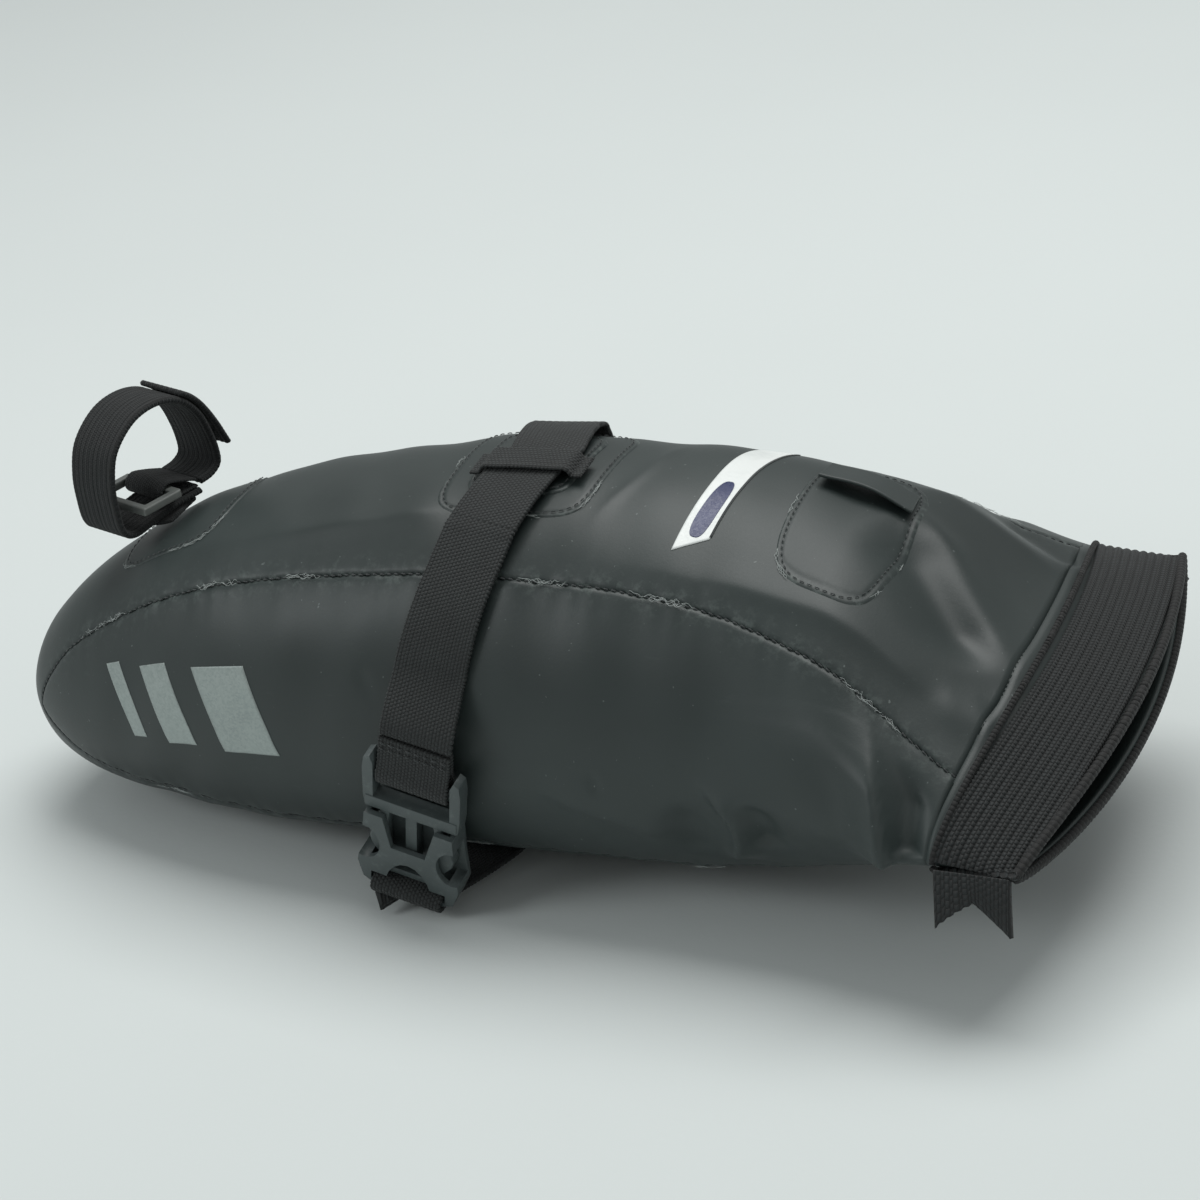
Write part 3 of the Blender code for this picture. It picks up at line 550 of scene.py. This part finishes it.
FABRIC_M = coated_fabric()
PATCH_M = coated_fabric("tpu_coated_nylon_patch", "2D3635", "222A29", "5E6764")
STRAP_M = woven("polypropylene_webbing", 1.30, 1.15, "272D2D", "060808", 0.00040)
BAND_M = woven("ribbed_mouth_webbing", 1.5, 1.35, "202627", "070909", 0.00050, 0.5)
TAPE_M = woven("hook_and_loop_tape", 0.90, 1.00, "1E2324", "070909", 0.00026, 0.33, 0.85)
BUCKLE_M = moulded("moulded_acetal", "434B4B", "4E5656")
RING_M = moulded("moulded_nylon", "5D6160", "70746F", 0.5)
LABEL_M = film("white_polyester_film", "DDE1DF", "B4BBB9")
NAVY_M = film("navy_ink_on_film", "1B2550", "2E3A68", 0.35)
PRINT_M = film("glass_bead_transfer_print", "929C99", "7C8684", 0.42, 0.25)
DARK_YARN = yarn("black_polyester_thread", "15191A", "2B3233")
WHITE_YARN = yarn("frayed_white_thread", "8A9290", "B9C0BE")

# ---- the shell -------------------------------------------------------------------------------------------
ROWS = NOSE_SEAM + (PANEL_END - NOSE_SEAM) * np.linspace(0, 1, 290) ** 1.35


def crowded(n):
    """0 to 1, crowded at both ends."""
    x = np.linspace(0, 1, n)
    return 0.85 * (0.5 - 0.5 * np.cos(np.pi * x)) + 0.15 * x


def turned_edge(s, phi, t):
    """Lift at a sewn edge: the fabric rolls in by 0.9 mm over its last millimetre, and puckers along the seam.

    Also gives how near the seam each point is, 1 at it and fading over 3 mm.
    """
    points = skin(s, phi)
    across = np.concatenate([np.zeros_like(points[:, :1, 0]),
                             np.cumsum(np.linalg.norm(np.diff(points, axis=1), axis=-1), axis=1)], 1)
    edge = np.minimum(across, across[:, -1:] - across)
    pucker = np.sin(s / MM * 0.72 + 3 * (t > 0.5) + 1.3 * np.sin(s / MM * 0.19)) * np.exp(-edge / 0.005)
    fade = ease((s - 0.02) / 0.03)
    return -0.0009 * np.exp(-((edge / 0.0009) ** 1.3)) + 0.00022 * pucker * fade, np.exp(-edge / 0.003)


def side_panel(name, sign):
    """Leaf of fabric between the two seams of one side: phi runs between the seam angles."""
    t = crowded(96)[None]
    up, down = (a[:, None] for a in seams(ROWS))
    phi = 180 - up * (1 - t) + down * t if sign < 0 else up * (1 - t) - down * t
    s = ROWS[:, None] + 0 * phi
    lift, edge = turned_edge(s, phi, t)
    return fabric_sheet(name, cloth(s, phi, lift), FABRIC, FABRIC_M, {"edge": edge})


def gusset_band():
    """One band from the mouth over the top, round the nose and back underneath, closed where halves meet."""
    head = NOSE_SEAM * np.linspace(0, 1, 15)[:-1] ** 1.4
    s = np.concatenate([head, ROWS])[:, None]
    up, down = (np.where(s < NOSE_SEAM, 0, a) for a in seams(np.maximum(s, NOSE_SEAM)))
    t = crowded(112)[None]
    halves = []
    for phi in (up + (180 - 2 * up) * t, 360 - down - (180 - 2 * down) * t):
        lift, edge = turned_edge(s + 0 * phi, phi, t)
        seam = ease((s - NOSE_SEAM * 0.8) / 0.004)
        points = cloth(s + 0 * phi, phi, lift * seam)
        turn = np.radians(np.linspace(90, 0, 9))[:-1, None, None]
        tip = points[:1] + 0 * turn
        middle = skin(0.0, 0.0)[2]
        tip[..., 2] = middle + (tip[..., 2] - middle) * np.cos(turn[..., 0])
        tip[..., 0] -= 0.0009 * np.sin(turn[..., 0])
        tip[..., 1] *= 1 - 0.09 * np.sin(turn[..., 0]) ** 2
        edge = np.concatenate([np.zeros((8, edge.shape[1])), edge * seam])
        halves.append((np.concatenate([tip, points]), edge))
    (top, top_edge), (low, low_edge) = halves
    points = np.concatenate([top[::-1], low[1:]])
    edge = np.concatenate([top_edge[::-1], low_edge[1:]])
    return weld(fabric_sheet("gusset_band", points, FABRIC, FABRIC_M, {"edge": edge}))


def mouth_lip(name, phi0, phi1):
    rows, turns = np.linspace(PANEL_END - 0.0002, MOUTH - 0.0006, 22), np.linspace(phi0, phi1, 150)
    s, phi = np.meshgrid(rows, turns, indexing="ij")
    return fabric_sheet(name, cloth(s, phi), FABRIC, FABRIC_M, {"edge": 0 * s})


def bend_to_mouth(obj):
    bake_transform(obj)


near_panel = side_panel("near_side_cloth", -1)
far_panel = side_panel("far_side_cloth", 1)
gusset = gusset_band()
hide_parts("near_side_panel")
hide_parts("far_side_panel")
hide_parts("top_gusset", "bottom_gusset", "nose_cap")
for obj in (near_panel, far_panel, gusset):
    bend_to_mouth(obj)

# ---- seam stitching --------------------------------------------------------------------------------------
near_seam = np.concatenate([np.stack([ROWS[::-1], 180 - seams(ROWS[::-1])[0]], 1),
                            np.stack([ROWS, 180 + seams(ROWS)[1]], 1)[1:]])
far_seam = near_seam * [1, -1] + [0, 180]
for side, line in (("near", near_seam), ("far", far_seam)):
    sewn = stitches(f"{side}_seam_stitches", line, DARK_YARN, 0.0027, 0.0019, 0.00026, -0.0007, 0.0004)
    bend_to_mouth(sewn)
    total = lengths(cloth(line[:, 0], line[:, 1]))[-1]
    spans = [(0.022, 0.044), (0.096, 0.116), (0.140, 0.156), (0.228, 0.240), (0.262, 0.276), (0.316, 0.340)]
    spans += [(total - 0.10, total - 0.09), (total - 0.19, total - 0.17), (total - 0.30, total - 0.285)]
    bend_to_mouth(fraying(f"{side}_seam_fraying", line, spans, WHITE_YARN))

# ---- mouth -----------------------------------------------------------------------------------------------
for half, phi0, phi1 in (("upper", 0.0, 180.0), ("lower", 180.0, 360.0)):
    lip = mouth_lip(f"{half}_lip_cloth", phi0, phi1)
    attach(lip, "mouth")
    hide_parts(f"mouth_lip_{half}")


def mouth_band(half, phi0, phi1):
    """Ribbed webbing round the mouth: ribs along it 2.7 mm apart, with a beaded selvedge at both edges."""
    phi = np.linspace(phi0, phi1, 620)
    centre = skin(0.3674, phi, 0.0016)
    wide = unit(skin(0.3808, phi, 0.0016) - skin(0.3540, phi, 0.0016))
    band = webbing(f"{half}_mouth_band", centre, wide, 0.0270, 0.0019, BAND_M,
                   ribs=10, rib=0.00055, edge=0.00018, columns=82)
    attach(band, "mouth")
    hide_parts(f"mouth_band_{half}")
    for key, s, size, pitch in (("inner", 0.3541, 0.0010, 0.0016), ("outer", 0.3806, 0.0016, 0.0020)):
        line = skin(s, phi, 0.0019)
        run = lengths(line)
        out = unit(skin(s, phi, 0.003) - line)
        points = line + out * (0.00030 * np.sin(2 * np.pi * run / pitch))[:, None]
        binding = threads(f"{half}_{key}_binding", points[None], out[None], size, BAND_M, 10)
        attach(binding, "mouth")


mouth_band("upper", 3.0, 177.0)
mouth_band("lower", 183.0, 357.0)


def fishtail(side, name):
    """Free end of the mouth webbing at a corner, cut to a V: rows shorten towards the notch."""
    corner = skin(0.3672, 180.0 if side < 0 else 0.0, 0.0030)
    wide = unit(skin(0.367, 180.0 if side < 0 else 0.0) - skin(0.364, 180.0 if side < 0 else 0.0))
    out = unit(np.array([0.10, side * 0.50, -0.86]))
    t, a = np.meshgrid(np.linspace(0, 1, 40), np.linspace(-1, 1, 34), indexing="ij")
    length = 0.0078 + 0.0092 * np.abs(a) ** 1.1 + 0.0002 * np.sin(31 * a)
    normal = unit(np.cross(wide, out))
    curl = 0.0016 * t * t * (1 + 0.5 * np.sin(3 * a))
    ribs = 0.00025 * np.abs(np.sin(np.pi * 5 * a))
    points = (corner + wide * (0.0117 * a)[..., None] + out * (length * t)[..., None]
              + normal * (curl + ribs)[..., None])
    obj = fabric_sheet(f"{name}_webbing", points, WEB, BAND_M, middle=corner - normal * 0.05)
    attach(obj, "mouth")
    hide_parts(name)


fishtail(-1, "near_fishtail_end")
fishtail(1, "far_fishtail_end")


# ---- patches, label and print ----------------------------------------------------------------------------
def patch_grid(s0, s1, phi0, phi1, power, n):
    """Square grid pulled in to a superellipse |u| ** power + |v| ** power = 1, and how near its edge it is."""
    u, v = np.meshgrid(crowded(n) * 2 - 1, crowded(n) * 2 - 1, indexing="ij")
    most = np.maximum(np.maximum(np.abs(u), np.abs(v)), 1e-9)
    pull = (np.abs(u / most) ** power + np.abs(v / most) ** power + (most < 1e-6)) ** (-1 / power)
    share = 1 + (pull - 1) * most**2
    return (s0 + s1) / 2 + (s1 - s0) / 2 * u * share, (phi0 + phi1) / 2 + (phi1 - phi0) / 2 * v * share, most


def outline(s0, s1, phi0, phi1, power, inset, n=400):
    """Closed line inside a patch's edge, as (s, phi) rows: the superellipse shrunk by inset metres."""
    a = np.linspace(0, 2 * np.pi, n)
    r = (np.abs(np.cos(a)) ** power + np.abs(np.sin(a)) ** power) ** (-1 / power)
    half_s, half_phi = (s1 - s0) / 2 - inset, (phi1 - phi0) / 2 - inset / 0.00118
    return np.stack([(s0 + s1) / 2 + half_s * r * np.cos(a), (phi0 + phi1) / 2 + half_phi * r * np.sin(a)], 1)


def patch(node, s0, s1, phi0, phi1, power, base, worn=()):
    """Welded and sewn patch: its edge rolls down to the cloth over the last tenth of a millimetre of lift."""
    s, phi, most = patch_grid(s0, s1, phi0, phi1, power, 72)
    inset = np.minimum((1 - most) * (s1 - s0) / 2, (1 - most) * (phi1 - phi0) / 2 * 0.00118)
    lift = base + PATCH * 0.75 * (1 - np.exp(-((inset / 0.0005) ** 1.2))) - 0.0002
    lift = lift - 0.00028 * np.exp(-(((inset - 0.0018) / 0.0007) ** 2))
    marks = {"edge": np.exp(-inset / 0.0012)}
    obj = fabric_sheet(f"{node}_cloth", cloth(s, phi, lift), 0.0007, PATCH_M, marks)
    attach(obj, "bag")
    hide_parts(node)
    line = outline(s0, s1, phi0, phi1, power, 0.0018)
    sewn = stitches(f"{node}_stitches", line, DARK_YARN, 0.0026, 0.0019, 0.00018, base + PATCH * 0.62)
    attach(sewn, "bag")
    if worn:
        edge = outline(s0, s1, phi0, phi1, power, 0.0003)
        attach(fraying(f"{node}_fraying", edge, worn, WHITE_YARN, 8, 0.00006, 0.0007), "bag")


patch("top_patch", 0.173, 0.228, 67, 113, 5.0, 0.0,
      [(0.008, 0.018), (0.020, 0.026), (0.040, 0.044), (0.098, 0.104)])
patch("top_patch_inner", 0.182, 0.219, 75, 105, 6.0, PATCH * 0.8, [(0.004, 0.011), (0.060, 0.068)])
patch("rear_patch", 0.289, 0.322, 66, 117, 3.6, 0.0,
      [(0.022, 0.026), (0.052, 0.068), (0.086, 0.094), (0.005, 0.009)])
patch("nose_patch", 0.046, 0.090, 66, 114, 4.5, 0.0, [(0.012, 0.040), (0.060, 0.066)])


def strip(node, name, corners, material, shift=0.0, rise=0.00022, n=60):
    """Film on the cloth: a four-cornered area in (s, phi), its edges straight, with a hair of thickness."""
    a, b, c, d = (np.array(p) for p in corners)
    u, v = np.linspace(0, 1, n // 3)[:, None, None], np.linspace(0, 1, n)[None, :, None]
    grid = (a * (1 - u) + b * u) * (1 - v) + (d * (1 - u) + c * u) * v
    obj = fabric_sheet(name, cloth(grid[..., 0] + shift, grid[..., 1], rise), rise + 0.0001, material)
    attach(obj, "bag")
    if node:
        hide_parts(node)
    return obj


LABEL = [(0.0, 118.0), (0.0105, 112.0), (0.0175, 62.0), (0.0065, 62.0)]
LABEL_LINE = [(0.0102, 111.5), (0.0109, 111.2), (0.0176, 62.0), (0.0170, 62.0)]
LABEL_S = 0.2590
strip("label_strip", "label_film", LABEL, LABEL_M, LABEL_S)
strip(None, "label_line_rear", LABEL_LINE, DARK_YARN, LABEL_S, 0.0003)


def lozenge():
    """Plain oval of ink near the label's lower end, leaning with the strip."""
    s, phi, _ = patch_grid(-0.0029, 0.0029, -10.5, 10.5, 3.0, 30)
    points = cloth(LABEL_S + 0.0071 + s - phi * 0.00016, 102.0 + phi, 0.00036)
    obj = fabric_sheet("label_ink_oval", points, 0.0002, NAVY_M)
    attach(obj, "bag")


lozenge()
BARS = (
    [(0.050, 154.0), (0.056, 154.0), (0.066, 182.0), (0.060, 182.0)],
    [(0.066, 157.0), (0.078, 157.0), (0.088, 184.0), (0.076, 184.0)],
    [(0.090, 159.0), (0.112, 159.0), (0.122, 185.0), (0.100, 185.0)],
)
for k, bar in enumerate(BARS):
    strip(f"reflective_bar_{k}", f"printed_bar_{k}", bar, PRINT_M, 0.0, 0.00018)


# ---- rail strap ------------------------------------------------------------------------------------------
def strap_s(phi):
    return STRAP_S - STRAP_SLANT * np.clip((np.asarray(phi, float) - 90) / 90, 0, 1.3)


def along_skin(s, phi, lift=0.0):
    return unit(skin(s + 1e-4, phi, lift) - skin(s - 1e-4, phi, lift))


TOP_LIFT = 2 * PATCH + 3 * GAP + WEB / 2
phi_top = np.linspace(62, 118, 150)
lean = np.abs(phi_top - 90) + 90
wave = 0.0007 * np.sin((phi_top - 62) / 56 * np.pi) ** 2
top_line = skin(strap_s(lean), phi_top, TOP_LIFT + wave * 0.4)
# the 25 mm webbing: width, thickness, material, number of ribs, height of a rib, selvedge, columns
STRAP_WEAVE = (WEB_W, WEB, STRAP_M, 11, 0.00012, 0.00016, 44)
top_wide = along_skin(strap_s(lean), phi_top, TOP_LIFT)
top_strap = webbing("rail_strap_webbing", top_line, top_wide, *STRAP_WEAVE)
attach(top_strap, "bag")
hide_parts("rail_strap_top")


def keeper():
    """Short webbing bridge over the strap, sewn down to the patch at both ends."""
    low, rise = 2 * PATCH + 3 * GAP + WEB / 2, TOP_LIFT + WEB + 2 * GAP
    half = [(0.0085, rise), (0.0140, rise), (0.0162, low), (0.0195, low)]
    line = curve([(-a, b) for a, b in half[::-1]] + half, 90)
    points = skin(strap_s(96.0) + line[:, 0], 96.0, line[:, 1])
    wide = np.tile([0.0, 1.0, 0.06], (90, 1))
    obj = webbing("keeper_webbing", points, wide, 0.012, WEB * 0.75, STRAP_M, 5, 0.0001, 0.00014, 24)
    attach(obj, "bag")
    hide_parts("strap_keeper")


keeper()
# the buckle's own frame: origin, then a across, b down the strap, c out from the bag, in mm
NEAR_BUCKLE = (np.array([-0.023755, -0.064244, 0.039314]), np.array([
    [0.965244, -0.006696, -0.261263], [-0.254131, 0.209272, -0.944258], [-0.060997, -0.977835, -0.200297]]))


def at_buckle(points):
    return NEAR_BUCKLE[0] + np.asarray(points, float) * MM @ NEAR_BUCKLE[1]


SIDEWAYS, DOWN = NEAR_BUCKLE[1][0], NEAR_BUCKLE[1][1]


def strap_run_line():
    """Down the side from the top strap, standing off the cloth as it nears the buckle."""
    phi = np.linspace(117.0, 158.0, 60)
    lift = 0.0018 + (TOP_LIFT - 0.0018) * np.clip((132 - phi) / 13, 0, 1) ** 1.5
    upper = skin(strap_s(phi), phi, lift)
    end = at_buckle([0, -34.2, 4.4])
    start_dir, reach = unit(upper[-1] - upper[-2]), np.linalg.norm(end - upper[-1])
    t = np.linspace(0, 1, 80)[1:, None]
    lower = (upper[-1] * (1 + 2 * t) * (1 - t) ** 2 + start_dir * reach * t * (1 - t) ** 2
             + end * t * t * (3 - 2 * t) + DOWN * reach * t * t * (t - 1))
    centre = np.concatenate([upper, lower])
    turn = np.clip((np.arange(len(centre)) - 59) / 79, 0, 1)[:, None]
    flat = np.concatenate([along_skin(strap_s(phi), phi), np.tile(along_skin(strap_s(158.0), 158.0), (79, 1))])
    fine = curve(centre[::4], 420)
    k = np.linspace(0, len(centre) - 1, 420)
    wide = unit(flat * (1 - turn) + SIDEWAYS * turn)
    return fine, np.stack([np.interp(k, np.arange(len(centre)), wide[:, c]) for c in range(3)], 1)


def fold_line():
    """Webbing folded round the male buckle's bar and sewn to itself, in the buckle's b and c."""
    path = [(-34, 5.3), (-28, 5.6), (-23, 6.6), (-19.5, 7.6), (-17.5, 7.75), (-15.4, 7.1), (-14.6, 5.0),
            (-15.4, 2.9), (-17.5, 2.25), (-19.5, 2.35), (-23, 2.9), (-28, 3.4), (-34, 3.5)]
    line = curve(path, 220)
    return at_buckle(np.stack([0 * line[:, 0], line[:, 0], line[:, 1]], 1))


def tail_line():
    """From the female buckle's bar round and back to the underside of the bag."""
    hang = at_buckle([(0, 27.2, 0.4), (0, 27.2, 8.0), (0, 27.8, 11.4), (0, 29.9, 12.5), (0, 32.9, 10.7),
                      (0, 34.1, 6.0), (0, 34.5, 1.5)])
    under = skin(strap_s(192.0), np.array([246.0, 256.0]), np.array([0.0026, 0.0017]))
    line = curve(np.concatenate([hang, under]), 220)
    wide = np.linspace(0, 1, 220)[:, None] ** 2
    return line, unit(SIDEWAYS * (1 - wide) + np.array([1.0, 0, 0]) * wide)


for side, flip in (("near", np.array([1, 1, 1])), ("far", np.array([1, -1, 1]))):
    line, wide = strap_run_line()
    run = webbing(f"{side}_strap_webbing", line * flip, wide * flip, *STRAP_WEAVE)
    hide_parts(f"{side}_strap_run")
    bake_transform(run)
    wide = np.tile(SIDEWAYS * flip, (220, 1))
    end = webbing(f"{side}_sewn_fold", fold_line() * flip, wide, WEB_W, 0.0014, STRAP_M,
                  11, 0.00012, 0.00014, 44)
    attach(end, f"{side}_male")
    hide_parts(f"{side}_strap_end")
    line, wide = tail_line()
    tail = webbing(f"{side}_tail_loop", line * flip, wide * flip, *STRAP_WEAVE)
    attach(tail, "bag")
    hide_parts(f"{side}_tail_webbing")
    a = np.arange(-10.5, 10.6, 3.0)
    rows = np.array([(-32.2, 6.35), (-29.8, 6.45)])
    t = np.linspace(-1.1, 1.1, 6)
    arch = 0.22 * np.cos(t / 1.1 * 1.6)[None] + 0 * a[:, None]
    bars = [np.stack([a[:, None] + t, np.full((8, 6), b), c + arch], -1) for b, c in rows]
    bars = np.stack(bars).reshape(-1, 6, 3)
    out = np.broadcast_to(NEAR_BUCKLE[1][2] * flip, bars.shape)
    sewn = threads(f"{side}_fold_stitches", at_buckle(bars) * flip, out, 0.00028, DARK_YARN)
    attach(sewn, f"{side}_male")


# ---- hard parts ------------------------------------------------------------------------------------------
def eased_copy(node, name, body, material, width, segments=3):
    """The node's own solid with its points merged and its edges rounded off by a bevel."""
    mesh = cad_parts[node].data.copy()
    obj = bpy.data.objects.new(name, mesh)
    bpy.context.scene.collection.objects.link(obj)
    work = bmesh.new()
    work.from_mesh(mesh)
    bmesh.ops.remove_doubles(work, verts=work.verts, dist=2e-6)
    bmesh.ops.dissolve_limit(work, angle_limit=0.02, verts=work.verts, edges=work.edges)
    work.to_mesh(mesh)
    work.free()
    mesh.materials.clear()
    mesh.materials.append(material)
    mesh.polygons.foreach_set("use_smooth", np.ones(len(mesh.polygons), bool))
    edge = obj.modifiers.new("eased edges", "BEVEL")
    edge.width, edge.segments = width, segments
    edge.limit_method, edge.angle_limit = "ANGLE", math.radians(38)
    edge.harden_normals = True
    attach(obj, body)
    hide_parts(node)
    return obj


for side in ("near", "far"):
    eased_copy(f"{side}_buckle_female", f"{side}_buckle_socket", "bag", BUCKLE_M, 0.0008)
    eased_copy(f"{side}_buckle_male", f"{side}_buckle_plug", f"{side}_male", BUCKLE_M, 0.0006)
    eased_copy(f"{side}_prong_front", f"{side}_front_spring_arm", f"{side}_front_prong", BUCKLE_M, 0.0006)
    eased_copy(f"{side}_prong_rear", f"{side}_rear_spring_arm", f"{side}_rear_prong", BUCKLE_M, 0.0006)
eased_copy("post_strap_ring", "post_ring_bar", "post_ring", RING_M, 0.0007)
eased_copy("base_patch", "base_patch_cloth", "bag", PATCH_M, 0.0005)

# ---- seatpost strap --------------------------------------------------------------------------------------
YAW = math.radians(19.0)
ACROSS = np.array([math.sin(YAW), math.cos(YAW), 0])
WIDTHWAYS = np.array([math.cos(YAW), -math.sin(YAW), 0])
POST_LOOP = [(13.6, 110.2), (2, 110.0), (-9.5, 108.2), (-17.5, 107.4), (-21.8, 110.6), (-22.8, 118.4),
             (-22.3, 128.3), (-18.6, 138.4), (-9.2, 145.8), (1.6, 147.6), (11.8, 144.6), (18.8, 137.2),
             (22.4, 127.8), (23.7, 120.0), (23.0, 116.2), (19.4, 114.0), (14.2, 113.3)]
TIP_PATH = [(13.0, 146.9), (17.5, 143.4), (21.5, 138.5), (25.6, 131.0), (29.6, 121.5)]
TAB_PATH = [(13, 112.3), (6, 112.2), (0.5, 112.1), (-2.4, 113.7), (-2.6, 116.5), (0.3, 118.4), (6, 117.0),
            (13, 114.4)]


def post_line(path, n):
    """Path in the strap's own plane (mm across and up), stood at the seatpost."""
    line = curve(path, n) * MM
    return np.array([-0.1432, 0, 0]) + ACROSS * line[:, :1] + np.array([0, 0, 1.0]) * line[:, 1:]


def post_piece(node, name, path, body, n, width, thick, ribs, rib):
    wide = np.tile(WIDTHWAYS, (n, 1))
    obj = webbing(name, post_line(path, n), wide, width, thick, TAPE_M, ribs, rib, 0.00012, 46)
    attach(obj, body)
    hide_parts(node)
    return obj


post_piece("post_strap_loop", "seatpost_tape_loop", POST_LOOP, "bag", 560, POST_W, 0.0022, 9, 0.00028)
post_piece("post_strap_tip", "seatpost_tape_tip", TIP_PATH, "post_tip", 140, POST_W, 0.0018, 9, 0.00022)
post_piece("post_strap_tab", "seatpost_ring_tab", TAB_PATH, "bag", 140, 0.019, 0.0009, 7, 0.0001)

t = np.linspace(0, 1, 70)
foot_line = skin(0.0480 + 0.017 * t, 90.0, PATCH + 3 * GAP + 0.0007 + 0.0062 * (1 - t) ** 1.5)
foot_wide = np.tile([0.0, 1.0, 0.0], (70, 1))
foot = webbing("seatpost_strap_foot_webbing", foot_line, foot_wide, 0.018, 0.0014, TAPE_M,
               7, 0.0001, 0.0001, 30)
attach(foot, "bag")
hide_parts("post_strap_foot")

t = np.linspace(0, 1, 90)
loop_line = skin(0.2925 + 0.027 * t, 80.0, PATCH + 4.5 * GAP + FABRIC / 2 + 0.0010 * np.sin(np.pi * t) ** 2)
loop_wide = np.tile([0.0, 1.0, -0.25], (90, 1))
light = webbing("light_loop_cloth", loop_line, loop_wide, 0.015, FABRIC, PATCH_M, columns=30)
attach(light, "bag")
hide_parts("light_loop")

# ---- studio ----------------------------------------------------------------------------------------------
side = np.array([-6.0, 6.0])
x, y = np.meshgrid(side, side, indexing="ij")
floor = new_mesh("floor", np.stack([x, y, 0 * x - 0.0002], -1), quads(2, 2)[:, ::-1], studio_floor())


def area_light(name, place, target, size, power, colour):
    data = bpy.data.lights.new(name, "AREA")
    data.shape, data.size, data.size_y, data.energy = "RECTANGLE", size[0], size[1], power
    data.color = srgb(colour)[:3]
    obj = bpy.data.objects.new(name, data)
    obj.location = place
    back = unit(np.asarray(place, float) - np.asarray(target, float))
    right = unit(np.cross([0.0, 0.0, 1.0], back) + [1e-6, 0, 0])
    turn = np.stack([right, np.cross(back, right), back], 1)
    obj.matrix_world = Matrix([list(turn[r]) + [place[r]] for r in range(3)] + [[0, 0, 0, 1]])
    bpy.context.scene.collection.objects.link(obj)


area_light("overhead softbox", (0.1, 0.5, 1.7), (0, 0, 0.05), (1.6, 1.2), 29, "FBFBFA")
area_light("left softbox", (-1.3, -1.1, 1.1), (0, 0, 0.05), (0.7, 0.7), 9, "F4F8F9")
area_light("right fill", (1.5, -0.9, 0.8), (0, 0, 0.05), (0.9, 0.9), 1.5, "F8F8F6")
world = bpy.data.worlds.new("studio")
world.use_nodes = True
world.node_tree.nodes["Background"].inputs[0].default_value = srgb("E6E9E9")
world.node_tree.nodes["Background"].inputs[1].default_value = 0.42
bpy.context.scene.world = world
bpy.context.scene.view_settings.view_transform = "Standard"

# ---- camera ----------------------------------------------------------------------------------------------
azimuth, elevation, roll = (math.radians(a) for a in (27.07, 28.3, -8.73))
level = math.cos(elevation)
back = np.array([math.sin(azimuth) * level, -math.cos(azimuth) * level, math.sin(elevation)])
right = np.array([math.cos(azimuth), math.sin(azimuth), 0.0])
up = np.cross(back, right)
cos_roll, sin_roll = math.cos(roll), math.sin(roll)
turn = np.stack([right * cos_roll + up * sin_roll, up * cos_roll - right * sin_roll, back], 1)
eye = np.array([-0.0055, 0.0, 0.0572]) + back * 1.1
lens = bpy.data.cameras.new("studio camera")
lens.sensor_width, lens.lens, lens.shift_x, lens.shift_y = 36.0, 99.66, 0.0472, 0.0564
lens.clip_start, lens.clip_end = 0.05, 30.0
camera = bpy.data.objects.new("studio camera", lens)
camera.matrix_world = Matrix([list(turn[r]) + [eye[r]] for r in range(3)] + [[0, 0, 0, 1]])
bpy.context.scene.collection.objects.link(camera)
bpy.context.scene.camera = camera
